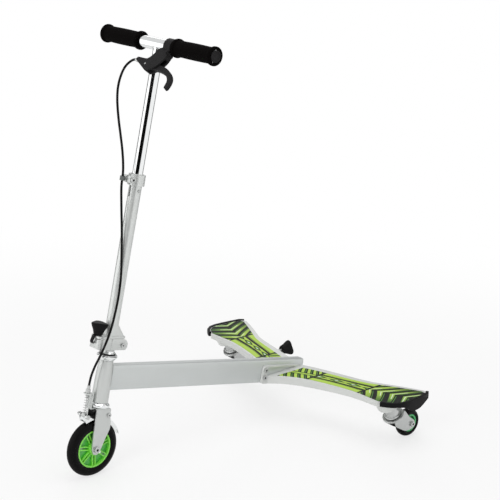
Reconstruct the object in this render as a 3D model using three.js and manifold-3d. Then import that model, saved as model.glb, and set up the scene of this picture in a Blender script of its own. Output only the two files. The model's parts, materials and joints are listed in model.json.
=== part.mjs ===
// A three-wheeled caster scooter. One steered front wheel stands under a folding, telescoping T-bar,
// and two foot wings at the rear each ride on an inclined swivel caster.
// Millimetres, +Z up. The scooter faces -Y and the rider's left hand is at +X.
import * as THREE from "three";
import { mergeVertices } from "three/addons/utils/BufferGeometryUtils.js";
import { ConvexGeometry } from "three/addons/geometries/ConvexGeometry.js";
import Module from "manifold-3d";

const wasm = await Module();
wasm.setup();

// Fits and steps shared by every piece.
const gap = 0.3; // left between a piece and what carries it
const running = 0.5; // left round what turns or slides
const overrun = 3; // how far a cut runs past the face that it leaves
const beyond = 900; // longer than any piece, for the tools that trim one
const boltProud = 0.8; // how far a bolt's end stands out of its nut
const wheelSides = 28;
const casterSides = 20;
const roundSides = 16;
const smallSides = 8;
const hexSides = 6;
const arcSteps = 2;
const tipSteps = 8;
const curveSteps = 12;

// The steering line leans back. Its frame has x across, u square to it and aft, w up along it,
// with the front axle at its zero. The main tube runs along u.
const steeringLean = THREE.MathUtils.degToRad(11.3);
const frontWheel = {
  radius: 62.5,
  halfWidth: 12,
  shoulderRadius: 49,
  beadHalfWidth: 10.5,
  hubRadius: 42,
  rimDepth: 3.5,
  rimHalfWidth: 10,
  webHalfWidth: 2.5,
  bossRadius: 14,
  spokes: 7,
  spokeThickness: 2.4,
  spokeHalfWidth: 8,
  slotWidth: 4.2,
  slotFrom: 19,
};
const frontAxle = { radius: 4, headRadius: 7, headHeight: 4.5, socketRadius: 3, socketDepth: 3 };

const steerer = { radius: 12.7 };
const fork = {
  halfWidth: 16.4,
  wall: 3,
  top: 90,
  front: -15,
  aft: 22,
  corner: 3,
  kneeFront: -14,
  kneeHeight: 37,
  tipRadius: 11.5,
  bulgeAft: 27,
  bulgeLow: 44,
  bulgeHigh: 58,
  shoulderHeight: 74,
  taperAft: 20,
  taperHeight: 27,
  seatRadius: 14.5,
};

const headTube = {
  bottom: 101.5,
  top: 192,
  footRadius: 18.5,
  waistRadius: 17.6,
  waistHeight: 166,
  neckRadius: 15,
};
const lowerCup = { bottom: 91, radius: 23, lip: 2, rimTop: 97, footRadius: 21 };
const upperCup = { height: 10.5, radius: 22, rim: 2.4 };
const locknut = { bottom: 203.6, radius: 21, rim: 2, topRadius: 14, height: 10.5, neck: 2.5 };

const mainTube = { halfWidth: 12, bottom: 127.5, top: 182.5, aft: 582, wall: 2, corner: 4.5 };
const endCap = { thickness: 3, plugDepth: 9 };

const hinge = {
  bottom: 217,
  top: 241.5,
  front: -42,
  halfWidth: 16,
  wall: 5.6,
  floor: 3.3,
  landAft: -20,
  frontCorner: 8,
  planCorner: 9,
  pivotAft: 23.6,
  pivotHeight: 227.5,
  seamAft: -7,
  seamWidth: 1.4,
  seamDepth: 0.8,
};
const foldPivot = { radius: 3, headRadius: 5, headHeight: 3, socketRadius: 1.6, socketDepth: 1.4 };

const column = {
  radius: 13.4,
  bore: 11.5,
  top: 590,
  boreBottom: 272,
  plateThickness: 4.4,
  plateFront: -42,
  plateAft: 31,
  plateHalfWidth: 15,
  plateCorner: 7,
  flareTop: 270,
  flareFront: -14,
  flareCorner: 5,
  tongueHalfWidth: 10,
  tongueRadius: 6.5,
  tongueFront: 14,
  slitWidth: 3,
  slitBottom: 542,
};
const clamp = {
  bottom: 566,
  top: 589,
  radius: 17.8,
  earFront: -26,
  earHalfWidth: 10,
  earBottom: 570,
  earTop: 585.5,
  earCorner: 4,
  splitWidth: 3,
  boltAft: -19.5,
  boltHeight: 577.7,
  boltRadius: 2.5,
  headRadius: 5.5,
  headHeight: 5,
  socketRadius: 2.6,
};
const quickLever = {
  barrelRadius: 6,
  barrelHeight: 13,
  pivotAcross: -17.6,
  reach: 46,
  thickness: 5,
  rise: 5,
  tipHeight: 15,
  rootHeight: 9,
};
const cableGuide = {
  across: -8,
  aft: -31.5,
  bore: 3.4,
  radius: 5.2,
  bottom: 573,
  height: 9,
  tabHalfWidth: 2,
};
const heightButton = { height: 555.6, radius: 3, inner: 12.4, proud: 2.8, dome: 1 };

const foldKnob = {
  aft: -34,
  radius: 17.5,
  lobe: 2.6,
  neckRadius: 8.6,
  length: 25,
  boltRadius: 3.6,
  boltBelow: 6,
  boltInside: 16,
  boltRoom: 1.2,
};
// The knob's profile, as shares of its neck's radius and of its length.
const knobShares = [
  [0, 0],
  [1, 0],
  [1.02, 0.16],
  [1.35, 0.34],
  [1.8, 0.62],
  [1.94, 0.8],
  [1.88, 0.93],
  [1.5, 1],
  [0, 1.04],
];
const foldCatch = {
  halfWidth: 5,
  thickness: 1.6,
  rise: 3.4,
  reach: 5.5,
  hookBottom: 229,
  pivotAft: -35,
};

const handlebar = {
  stemRadius: 11.1,
  stemWall: 1.9,
  stemBottom: 500,
  crossHeight: 858,
  crossRadius: 12.7,
  crossWall: 1.6,
  crossHalfLength: 172,
  buttonHoleRadius: 3.4,
};
const crossBore = handlebar.crossRadius - handlebar.crossWall;
const grip = {
  inner: 56,
  outer: 174.5,
  foam: 3.9,
  crown: 0.8,
  ring: 3,
  ringWidth: 7,
  ringRound: 3,
};
const endPlug = { inset: 0.5, proud: 4.5, depth: 12, recessRadius: 9, recessDepth: 1.2 };

// The brake lever lies in a plane through the crossbar that slants forwards and down.
// Places in it are [x, e], with e the distance from the crossbar's line.
const leverPlane = { forwardShare: 0.6, downShare: 0.8 };
const perch = {
  bandFrom: 32,
  bandTo: 53,
  bandWall: 4.3,
  halfThickness: 8,
  slotHalfWidth: 4.6,
  slotFrom: 46,
  slotOuterFrom: 34,
  armInner: 20,
  armElbow: 36,
  armOuter: 56,
  armRoot: 12,
  bodyTop: 45,
  barrelEnd: -20,
  barrelLow: 52,
  bodyLow: 71,
  bodyLowFrom: 4,
  bodyLowTo: 32,
  toeAcross: 51,
  toeLow: 57,
  corner: 4,
  boltRadius: 3.4,
  boltLength: 5,
};
const lever = {
  pivotAcross: 14,
  pivotOut: 57,
  pivotRadius: 2.4,
  rootRadius: 7,
  halfThickness: 4,
  rootDepth: 13,
  tipDepth: 9,
};
const leverLine = {
  kneeAcross: 62,
  kneeOut: 58,
  bendAcross: 91,
  bendOut: 66,
  hookAcross: 108,
  hookOut: 80,
};
const leverTip = { across: 113, out: 97 };
const ferrule = { radius: 3.6, length: 9, collarRadius: 4.6, collarLength: 3 };

const brakePivot = {
  aft: 18,
  height: 75,
  radius: 3,
  headRadius: 5,
  headHeight: 2.5,
  socketRadius: 1.6,
  socketDepth: 1.2,
};
const brake = {
  innerRadius: 66.6,
  thickness: 2.4,
  frontAngle: -31,
  frontEarAngle: -13,
  pivotEarFrom: 1,
  pivotEarTo: 27,
  tailAngle: 64,
  halfWidth: 11.5,
  tailHalfWidth: 8,
  tailFrom: 38,
  earThickness: 2.2,
  earRadius: 6,
  lineAft: -35,
  anchorHeight: 72,
  anchorRadius: 2.6,
  anchorEyeRadius: 5.5,
  barrelRadius: 4,
  barrelHalfWidth: 7.6,
  seatRadius: 5.6,
  seatHeight: 77,
  seatThickness: 1.6,
  nutRadius: 5,
  nutHeight: 4,
};
const cableStop = {
  plateAft: -26.5,
  thickness: 2.4,
  halfWidth: 8,
  top: 121.5,
  earThickness: 2.4,
  earFront: -42,
  holeRadius: 3.4,
  footThickness: 3,
  corner: 5,
};
const adjuster = {
  threadRadius: 3,
  threadBelow: 9,
  knurlRadius: 5,
  knurlHeight: 8,
  sleeveRadius: 3.6,
  sleeveTop: 138,
};
const wire = { radius: 0.8 };
const returnSpring = { coilRadius: 4.3, wireRadius: 0.6, turns: 7, stepsPerTurn: 8, sides: 5 };

const cable = { radius: 2.5, sides: 8, step: 13.5 };
// The brake cable's route in the steering frame, as [x, u, w], from the lever down to the guide.
const upperCableRoute = [
  [-29.8, -29.1, 819.2],
  [-35, -29.8, 818.6],
  [-41.5, -33, 813.5],
  [-47.5, -39, 802],
  [-51, -43.5, 784],
  [-53, -45, 760],
  [-52, -43, 735],
  [-49, -39, 711],
  [-44, -34.5, 686],
  [-37, -30.5, 661],
  [-27, -28.5, 634],
  [-16, -29.5, 608],
  [-9, -31.3, 589],
  [-8, -31.5, 577.8],
];
// The same cable from the guide down past the knob to the brake's adjuster.
const lowerCableRoute = [
  [-8, -31.5, 577.2],
  [-7.6, -30.6, 561],
  [-4, -25, 520],
  [4, -20, 471],
  [12, -17, 424],
  [18, -14.5, 384],
  [22, -14.5, 345],
  [25, -18, 306],
  [27, -24, 266],
  [25, -29.5, 236],
  [18, -32.5, 208],
  [8, -34.5, 180],
  [2, -35, 158],
  [0, -35, 138.4],
];

// The foot wings, in the standing frame with y = 0 under the front axle.
const wing = {
  rootAcross: 12.3,
  top: 112.5,
  rootThickness: 18,
  tipThickness: 10,
  taperFrom: 90,
  frontRoot: 484,
  frontTip: 575,
  frontTipInset: 38,
  rearRoot: 605,
  rearTip: 713,
  rearTipInset: 16,
  reach: 328,
  deckThickness: 4,
  wall: 3.4,
  ribThickness: 3,
  flangeThickness: 4.6,
  flangeFront: 453,
  flangeAft: 579,
  flangeBottom: 126.8,
  flangeTop: 169.8,
  flangeCorner: 6,
  windowFront: 468,
  windowAft: 560,
  windowTop: 165.5,
  windowLow: 142.2,
  windowCorner: 3,
};
// The cross ribs' places, as shares of the wing's reach.
const ribShares = [0.25, 0.45, 0.65];
// The wing's edges, as shares [across, along] of the spans between their ends.
const frontEdgeShares = [
  [0, 0],
  [0.05, 0.17],
  [0.11, 0.37],
  [0.24, 0.62],
  [0.38, 0.78],
  [0.64, 0.98],
  [0.8, 1.01],
  [0.97, 1],
];
const rearEdgeShares = [
  [0, 0],
  [0.09, 0.09],
  [0.25, 0.215],
  [0.43, 0.335],
  [0.59, 0.46],
  [0.76, 0.71],
  [0.87, 0.86],
  [0.96, 0.97],
];
const tipShares = [
  [0, 0],
  [0.2, 0.025],
  [0.5, 0.08],
  [0.82, 0.175],
  [0.97, 0.31],
  [1, 0.42],
  [0.95, 0.6],
  [0.88, 0.8],
  [0.8, 0.94],
  [0.58, 1],
];
const bumper = {
  thickness: 7,
  top: 114.6,
  bottom: 103.6,
  apronBottom: 86,
  apronFront: 617,
  apronLowFrom: 644,
  apronLowTo: 672,
  apronAft: 706,
  round: 4,
  apronRound: 12,
};
const deckPad = {
  front: 28,
  frontRim: 5,
  rearRimRoot: 20,
  rearRimTip: 9,
  tipRim: 1.6,
  depth: 0.9,
  proud: 0.5,
};
const wingBolt = {
  aft: 461,
  heights: [159, 141.6],
  radius: 3,
  headRadius: 5.5,
  headHeight: 3,
  headRoom: 14,
  socketRadius: 2.4,
  socketDepth: 1.8,
};

// The casters: the swivel line leans forwards as it rises.
const casterLean = THREE.MathUtils.degToRad(30);
const caster = {
  tipInset: 55,
  ringAft: 641,
  ringHeight: 61.5,
  axleAft: 690,
  wheelRadius: 32.5,
  wheelHalfWidth: 11,
  shoulderRadius: 25,
  hubRadius: 20.5,
  hubHalfWidth: 9,
  bossRadius: 8,
  hubWindows: 7,
  windowFrom: 11.5,
  windowTo: 16.5,
  windowWidth: 4.4,
  webHalfWidth: 4,
};
const casterAcross = wing.reach - caster.tipInset;
const pod = { radius: 27, above: 33, round: 2, reach: 75 };
const casterRace = {
  kingpinRadius: 5.5,
  headRadius: 8.5,
  headHeight: 3.5,
  flangeRadius: 19.5,
  flangeLow: 2,
  flangeEdge: 4,
  flangeHigh: 6.5,
  shoulderRadius: 16,
  shoulderHigh: 9,
  neckRadius: 13,
  neckLow: 14,
  mountRadius: 21,
  mountThickness: 3,
};
const casterFork = {
  ringRadius: 25.3,
  ringTop: 1.6,
  ringRound: 2.5,
  crownTop: -3.4,
  wall: 2.6,
  wheelRoom: 1.6,
  frontEdge: -13,
  rearEdge: 24.5,
  rearWaist: 29,
  rearWaistDrop: 28,
  tipRadius: 11,
  heelAft: 4,
  heelDrop: 52,
  frontHeel: -14.5,
  frontHeelDrop: 20,
  corner: 3,
};
const casterForkHalfWidth = caster.wheelHalfWidth + casterFork.wheelRoom + casterFork.wall;
const casterAxle = { radius: 3.5, headRadius: 6, headHeight: 4, socketRadius: 2.6, socketDepth: 2.4 };

const rearKnob = { across: -110, height: 103.5, studRadius: 3.2, studLength: 28, standOff: 18 };

// Shapes.
const fullTurn = Math.PI + Math.PI;
const quarterTurn = Math.PI / 2;
const axisX = new THREE.Vector3(1, 0, 0);
const axisY = new THREE.Vector3(0, 1, 0);
const axisZ = new THREE.Vector3(0, 0, 1);

// A closed solid from a geometry, turned to face outwards.
function toSolid(geometry) {
  const bare = geometry.clone();
  bare.deleteAttribute("normal");
  bare.deleteAttribute("uv");
  const merged = mergeVertices(bare);
  const corners = merged.index.array;
  const faces = [];
  for (let i = 0; i < corners.length; i += 3) {
    const [a, b, c] = corners.slice(i, i + 3);
    const isFlat = a === b || b === c || c === a;
    if (!isFlat) faces.push([a, b, c]);
  }
  const build = (list) =>
    new wasm.Manifold(
      new wasm.Mesh({
        numProp: 3,
        vertProperties: Float32Array.from(merged.attributes.position.array),
        triVerts: Uint32Array.from(list.flat()),
      }),
    );
  const solid = build(faces);
  return solid.volume() < 0 ? build(faces.map((face) => face.toReversed())) : solid;
}

const join = (...solids) => solids.reduce((whole, next) => whole.add(next));
const cut = (solid, ...tools) => tools.reduce((left, tool) => left.subtract(tool), solid);
const common = (...solids) => solids.reduce((shared, next) => shared.intersect(next));
const mirrored = (solid) => solid.mirror([1, 0, 0]);

// A solid moved by a matrix.
const placed = (solid, matrix) => solid.transform(matrix.toArray());

// A closed outline through corners [a, b, radius]; a radius rounds its corner.
function outline(corners) {
  const shape = new THREE.Shape();
  corners.forEach(([a, b, radius = 0], i) => {
    const [beforeA, beforeB] = corners.at(i - 1);
    const [afterA, afterB] = corners[(i + 1) % corners.length];
    const here = new THREE.Vector2(a, b);
    const start = new THREE.Vector2(beforeA, beforeB).sub(here).setLength(radius).add(here);
    const end = new THREE.Vector2(afterA, afterB).sub(here).setLength(radius).add(here);
    if (i === 0) shape.moveTo(start.x, start.y);
    else shape.lineTo(start.x, start.y);
    if (radius > 0) shape.quadraticCurveTo(here.x, here.y, end.x, end.y);
  });
  shape.closePath();
  return shape;
}

const boxOutline = (a0, a1, b0, b1, radius = 0) =>
  outline([[a0, b0, radius], [a1, b0, radius], [a1, b1, radius], [a0, b1, radius]]);

// A plate with its outline in one plane, running from one place to another along the third axis.
function plate(shape, from, to, basis, sides = arcSteps) {
  const depth = to - from;
  const geometry = new THREE.ExtrudeGeometry(shape, { depth, bevelEnabled: false, curveSegments: sides });
  geometry.translate(0, 0, from);
  geometry.applyMatrix4(new THREE.Matrix4().makeBasis(...basis));
  return toSolid(geometry);
}
// The outline is in (y, z) and the plate runs along x.
const alongX = (shape, from, to, sides) => plate(shape, from, to, [axisY, axisZ, axisX], sides);
// The outline is in (x, y) and the plate runs along z.
const alongZ = (shape, from, to, sides) => plate(shape, from, to, [axisX, axisY, axisZ], sides);
// The outline is in (z, x) and the plate runs along y.
const alongY = (shape, from, to, sides) => plate(shape, from, to, [axisZ, axisX, axisY], sides);

// A revolved solid whose profile [radius, height] closes on itself or starts and ends on the axis.
function turned(profile, place, direction = axisZ, sides = roundSides) {
  const onAxis = profile[0][0] === 0;
  const points = onAxis ? profile : [...profile, profile[0]];
  const lathe = new THREE.LatheGeometry(points.map(([r, h]) => new THREE.Vector2(r, h)), sides);
  lathe.applyQuaternion(new THREE.Quaternion().setFromUnitVectors(axisY, direction));
  lathe.translate(...place);
  return toSolid(lathe);
}

const rod = (radius, from, to, sides = roundSides) => {
  const start = new THREE.Vector3(...from);
  const along = new THREE.Vector3(...to).sub(start);
  const length = along.length();
  return turned([[0, 0], [radius, 0], [radius, length], [0, length]], from, along.normalize(), sides);
};

// A round sheath swept along a smooth curve.
function sheath(points) {
  const { radius, sides, step } = cable;
  const curve = new THREE.CatmullRomCurve3(points.map((point) => new THREE.Vector3(...point)));
  const circle = new THREE.EllipseCurve(0, 0, radius, radius).getPoints(sides).slice(0, sides);
  const options = { steps: Math.ceil(curve.getLength() / step), extrudePath: curve, bevelEnabled: false };
  return toSolid(new THREE.ExtrudeGeometry(new THREE.Shape(circle), options));
}

// A closed ring of points moved inwards, for an open line walked with its inside on the left.
function inset(line, distance) {
  return line.map((point, i) => {
    const before = line[Math.max(i - 1, 0)];
    const after = line[Math.min(i + 1, line.length - 1)];
    const along = after.clone().sub(before).normalize();
    return new THREE.Vector2(point.x - along.y * distance, point.y + along.x * distance);
  });
}

const smooth = (points, steps) => new THREE.SplineCurve(points).getPoints(steps);
const lerp = THREE.MathUtils.lerp;

// Groups, finishes and pieces.
const standing = new THREE.Group();
const steering = new THREE.Group();
steering.rotation.x = -steeringLean;
steering.position.z = frontWheel.radius;
standing.add(steering);

const finish = (color, roughness, metalness) =>
  new THREE.MeshStandardMaterial({ color, roughness, metalness });
const materials = {
  brushedAluminium: finish(0xbcc1c0, 0.42, 0.85),
  paleSteel: finish(0xd2d4d1, 0.4, 0.7),
  chrome: finish(0xe6e8e8, 0.12, 1),
  whitePaint: finish(0xeceeea, 0.35, 0),
  deckPrint: finish(0x9bcf4c, 0.7, 0),
  blackPlastic: finish(0x17181a, 0.5, 0),
  leverPlastic: finish(0x3a393b, 0.55, 0),
  foam: finish(0x141312, 0.95, 0),
  tyre: finish(0x111112, 0.38, 0),
  frontHub: finish(0x57c84a, 0.3, 0),
  casterHub: finish(0x3cae55, 0.3, 0),
  zincSteel: finish(0xb9bcbc, 0.3, 1),
  cableSheath: finish(0x0e0e0f, 0.35, 0),
};

function addPiece(name, solid, material, parent) {
  const mesh = solid.getMesh();
  const corners = Array.from(mesh.triVerts, (i) => {
    const start = i * mesh.numProp;
    return Array.from(mesh.vertProperties.slice(start, start + 3));
  });
  const geometry = new THREE.BufferGeometry();
  geometry.setAttribute("position", new THREE.Float32BufferAttribute(corners.flat(), 3));
  geometry.computeVertexNormals();
  const piece = new THREE.Mesh(geometry, material);
  piece.name = name;
  parent.add(piece);
}

// Front wheel.
// The rounded tread's profile, from one shoulder over the crown to the other.
function treadCrown(shoulderRadius, radius, halfWidth) {
  const tread = new THREE.EllipseCurve(
    shoulderRadius,
    0,
    radius - shoulderRadius,
    halfWidth,
    -quarterTurn,
    quarterTurn,
  );
  return tread.getPoints(smallSides).map((point) => [point.x, point.y]);
}

function frontTyre() {
  const { radius, halfWidth, shoulderRadius, beadHalfWidth, hubRadius } = frontWheel;
  const inner = hubRadius + gap;
  const crown = treadCrown(shoulderRadius, radius, halfWidth);
  return turned([[inner, -beadHalfWidth], ...crown, [inner, beadHalfWidth]], [0, 0, 0], axisX, wheelSides);
}

function frontHub() {
  const { hubRadius, rimDepth, rimHalfWidth, webHalfWidth, bossRadius, spokes } = frontWheel;
  const { spokeThickness, spokeHalfWidth, slotWidth, slotFrom } = frontWheel;
  const rimInner = hubRadius - rimDepth;
  const bossHalfWidth = fork.halfWidth - fork.wall - gap;
  const rim = turned(
    [
      [rimInner, -rimHalfWidth],
      [hubRadius, -rimHalfWidth],
      [hubRadius, rimHalfWidth],
      [rimInner, rimHalfWidth],
    ],
    [0, 0, 0],
    axisX,
    wheelSides,
  );
  const web = rod(rimInner + gap, [-webHalfWidth, 0, 0], [webHalfWidth, 0, 0], wheelSides);
  const boss = rod(bossRadius, [-bossHalfWidth, 0, 0], [bossHalfWidth, 0, 0]);
  const bore = rod(frontAxle.radius + running, [-fork.halfWidth, 0, 0], [fork.halfWidth, 0, 0], smallSides);
  const slotEdge = slotWidth / 2;
  const pairs = [];
  const slots = [];
  for (let i = 0; i < spokes; i++) {
    const turn = new THREE.Matrix4().makeRotationX(((i + 1 / 2) / spokes) * fullTurn);
    for (const near of [slotEdge, -slotEdge - spokeThickness]) {
      const far = near + spokeThickness;
      const blade = boxOutline(near, far, bossRadius / 2, rimInner + gap);
      pairs.push(placed(alongX(blade, -spokeHalfWidth, spokeHalfWidth), turn));
    }
    const slot = boxOutline(-slotEdge, slotEdge, slotFrom, rimInner - gap);
    slots.push(placed(alongX(slot, -rimHalfWidth, rimHalfWidth), turn));
  }
  return cut(join(rim, web, boss, ...pairs), bore, ...slots);
}

// Fork, headset and hinge, in the steering frame.
function forkOutline() {
  const { front, aft, top, kneeFront, kneeHeight, tipRadius, bulgeAft, bulgeLow, bulgeHigh } = fork;
  const { shoulderHeight, taperAft, taperHeight, corner } = fork;
  return outline([
    [front, top, corner],
    [kneeFront, kneeHeight, corner],
    [-tipRadius, 0, tipRadius / 2],
    [-tipRadius / 2, -tipRadius, tipRadius / 3],
    [tipRadius / 2, -tipRadius, tipRadius / 3],
    [tipRadius, 0, tipRadius / 2],
    [taperAft, taperHeight, tipRadius],
    [bulgeAft, bulgeLow, corner],
    [bulgeAft, bulgeHigh, corner],
    [aft, shoulderHeight, corner],
    [aft, top, corner],
  ]);
}

function forkSolid() {
  const { halfWidth, wall, top, tipRadius, corner } = fork;
  const sides = alongX(forkOutline(), -halfWidth, halfWidth);
  const inside = halfWidth - wall;
  const crossSection = outline([
    [-tipRadius - overrun, -halfWidth],
    [-tipRadius - overrun, -inside],
    [top - wall, -inside, corner],
    [top - wall, inside, corner],
    [-tipRadius - overrun, inside],
    [-tipRadius - overrun, halfWidth],
    [top, halfWidth, corner],
    [top, -halfWidth, corner],
  ]);
  const yoke = common(sides, alongY(crossSection, -beyond, beyond));
  const stem = rod(steerer.radius, [0, 0, top - wall], [0, 0, hinge.bottom - gap]);
  const seat = rod(fork.seatRadius, [0, 0, top - wall / 2], [0, 0, lowerCup.bottom - gap]);
  const axleHole = rod(
    frontAxle.radius + gap,
    [-halfWidth - overrun, 0, 0],
    [halfWidth + overrun, 0, 0],
    smallSides,
  );
  const brakeHole = rod(
    brakePivot.radius + gap,
    [-halfWidth - overrun, brakePivot.aft, brakePivot.height],
    [halfWidth + overrun, brakePivot.aft, brakePivot.height],
    smallSides,
  );
  return cut(join(yoke, stem, seat), axleHole, brakeHole);
}

// A through bolt along x with a socket head at one end and, unless it is a piece of its own, a nut at
// the other.
function crossBolt(size, halfGrip, aft, height, withNut = true) {
  const { radius, headRadius, headHeight, socketRadius, socketDepth } = size;
  const face = halfGrip + gap;
  const end = face + headHeight;
  const at = (x) => [x, aft, height];
  const shank = rod(radius, at(-end), at(end), smallSides);
  const head = rod(headRadius, at(face), at(end));
  const socket = rod(socketRadius, at(end - socketDepth), at(end + overrun), hexSides);
  const bolt = cut(join(shank, head), socket);
  return withNut ? join(bolt, rod(headRadius, at(boltProud - end), at(-face), hexSides)) : bolt;
}

const frontAxleBolt = () => crossBolt(frontAxle, fork.halfWidth, 0, 0, false);

function frontAxleNut() {
  const { radius, headRadius, headHeight } = frontAxle;
  const face = -fork.halfWidth - gap;
  const outer = face - headHeight + boltProud;
  const nut = rod(headRadius, [outer, 0, 0], [face, 0, 0], hexSides);
  return cut(nut, rod(radius + gap, [outer - overrun, 0, 0], [face + overrun, 0, 0], smallSides));
}

function headTubeSolid(grow) {
  const { bottom, top, footRadius, waistRadius, waistHeight, neckRadius } = headTube;
  const bore = steerer.radius + running;
  const wall = [
    [footRadius + grow, bottom],
    [waistRadius + grow, waistHeight],
    [neckRadius + grow, top],
  ];
  const profile = grow > 0 ? [[0, bottom], ...wall, [0, top]] : [[bore, bottom], ...wall, [bore, top]];
  return turned(profile, [0, 0, 0]);
}

function lowerHeadsetCup() {
  const { bottom, radius, lip, rimTop, footRadius } = lowerCup;
  const bore = steerer.radius + running;
  const seat = headTube.bottom - gap;
  return turned(
    [
      [bore, bottom],
      [footRadius, bottom],
      [radius, bottom + lip],
      [radius, rimTop],
      [headTube.footRadius, seat],
      [bore, seat],
    ],
    [0, 0, 0],
  );
}

function upperHeadsetCup() {
  const { height, radius, rim } = upperCup;
  const bore = steerer.radius + running;
  const seat = headTube.top + gap;
  const lipHeight = seat + height - rim;
  return turned(
    [
      [bore, seat],
      [headTube.neckRadius, seat],
      [radius, lipHeight],
      [radius, seat + height],
      [bore, seat + height],
    ],
    [0, 0, 0],
  );
}

function headsetLocknut() {
  const { bottom, radius, rim, topRadius, height, neck } = locknut;
  const bore = steerer.radius + gap;
  const top = bottom + height;
  return turned(
    [
      [bore, bottom],
      [radius, bottom],
      [radius, bottom + rim],
      [topRadius, top - neck],
      [topRadius, top],
      [bore, top],
    ],
    [0, 0, 0],
  );
}

function hingeBlock() {
  const { bottom, top, front, halfWidth, wall, floor, landAft, frontCorner, planCorner } = hinge;
  const { pivotAft, pivotHeight, seamAft, seamWidth, seamDepth } = hinge;
  const eyeRadius = top - pivotHeight;
  const eyeEnd = Math.asin((bottom - pivotHeight) / eyeRadius);
  const side = new THREE.Shape();
  side.moveTo(front, bottom + frontCorner);
  side.lineTo(front, top - frontCorner);
  side.quadraticCurveTo(front, top, front + frontCorner, top);
  side.lineTo(pivotAft, top);
  side.absarc(pivotAft, pivotHeight, eyeRadius, quarterTurn, eyeEnd, true);
  side.lineTo(front + frontCorner, bottom);
  side.quadraticCurveTo(front, bottom, front, bottom + frontCorner);
  const plan = boxOutline(-halfWidth, halfWidth, front, beyond, planCorner);
  const block = common(alongX(side, -halfWidth, halfWidth), alongZ(plan, bottom - overrun, top + overrun));
  const inner = halfWidth - wall;
  const channel = alongZ(boxOutline(-inner, inner, landAft, beyond), bottom + floor, top + overrun);
  const pivotHole = rod(
    foldPivot.radius + gap,
    [-halfWidth - overrun, pivotAft, pivotHeight],
    [halfWidth + overrun, pivotAft, pivotHeight],
    smallSides,
  );
  const { aft: boltAft, boltRadius, boltBelow, boltRoom } = foldKnob;
  const boltHole = rod(
    boltRadius + boltRoom,
    [0, boltAft, top - boltBelow - boltRoom],
    [0, boltAft, top + overrun],
    smallSides,
  );
  const groove = boxOutline(seamAft, seamAft + seamWidth, bottom - overrun, top + overrun);
  const seams = [
    alongX(groove, halfWidth - seamDepth, halfWidth + overrun),
    alongX(groove, -halfWidth - overrun, seamDepth - halfWidth),
  ];
  return cut(block, channel, pivotHole, boltHole, ...seams);
}

const foldPivotBolt = () => crossBolt(foldPivot, hinge.halfWidth, hinge.pivotAft, hinge.pivotHeight);

// Front brake, in the steering frame.

// A place on the brake strip's middle line, by its angle about the axle in degrees aft of upright.
function onStrip(degrees) {
  const angle = THREE.MathUtils.degToRad(degrees);
  const radius = brake.innerRadius + brake.thickness / 2;
  return [Math.sin(angle) * radius, Math.cos(angle) * radius];
}

// An ear that stands on the strip between two angles and rounds off about a place above it.
function brakeEar(from, to, aft, height, radius) {
  const { halfWidth, earThickness } = brake;
  const shape = outline([
    onStrip(from),
    [aft - radius, height, radius / 2],
    [aft, height + radius, radius / 2],
    [aft + radius, height, radius / 2],
    onStrip(to),
    onStrip((from + to) / 2),
  ]);
  return alongX(shape, halfWidth - earThickness, halfWidth);
}

// The rocker over the tyre: a curved strip on a pivot, pulled up in front so that its tail meets the tyre.
function brakeArm() {
  const { innerRadius, thickness, frontAngle, frontEarAngle, pivotEarFrom, pivotEarTo, tailAngle } = brake;
  const { halfWidth, tailHalfWidth, tailFrom, earRadius, anchorEyeRadius } = brake;
  const { lineAft, anchorHeight, anchorRadius } = brake;
  const start = quarterTurn - THREE.MathUtils.degToRad(tailAngle);
  const end = quarterTurn - THREE.MathUtils.degToRad(frontAngle);
  const arc = new THREE.Shape();
  arc.absarc(0, 0, innerRadius + thickness, start, end, false);
  arc.absarc(0, 0, innerRadius, end, start, true);
  const strip = alongX(arc, -halfWidth, halfWidth, hexSides);
  const tailSide = alongX(boxOutline(tailFrom, beyond, 0, beyond), tailHalfWidth, beyond);
  const frontEar = brakeEar(frontAngle, frontEarAngle, lineAft, anchorHeight, anchorEyeRadius);
  const pivotEar = brakeEar(pivotEarFrom, pivotEarTo, brakePivot.aft, brakePivot.height, earRadius);
  const ears = join(frontEar, pivotEar);
  const across = (radius, aft, height) =>
    rod(radius + gap, [-beyond, aft, height], [beyond, aft, height], smallSides);
  return cut(
    join(strip, ears, mirrored(ears)),
    tailSide,
    mirrored(tailSide),
    across(brakePivot.radius, brakePivot.aft, brakePivot.height),
    across(anchorRadius, lineAft, anchorHeight),
  );
}

const brakePivotBolt = () => crossBolt(brakePivot, fork.halfWidth, brakePivot.aft, brakePivot.height);

// The pinch bolt across the arm's front eyes, with the spring's seat on its middle.
function cableAnchor() {
  const { lineAft, anchorHeight, anchorRadius, barrelRadius, barrelHalfWidth, halfWidth } = brake;
  const { nutRadius, nutHeight, seatRadius, seatHeight, seatThickness } = brake;
  const face = halfWidth + gap;
  const end = face + nutHeight;
  const at = (x) => [x, lineAft, anchorHeight];
  const shank = rod(anchorRadius, at(-end - nutHeight), at(end), smallSides);
  const barrel = rod(barrelRadius, at(-barrelHalfWidth), at(barrelHalfWidth), smallSides);
  const head = rod(nutRadius, at(face), at(end), smallSides);
  const nut = rod(nutRadius, at(-end), at(-face), hexSides);
  const seat = rod(seatRadius, [0, lineAft, anchorHeight], [0, lineAft, seatHeight + seatThickness]);
  return join(shank, barrel, head, nut, seat);
}

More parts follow.
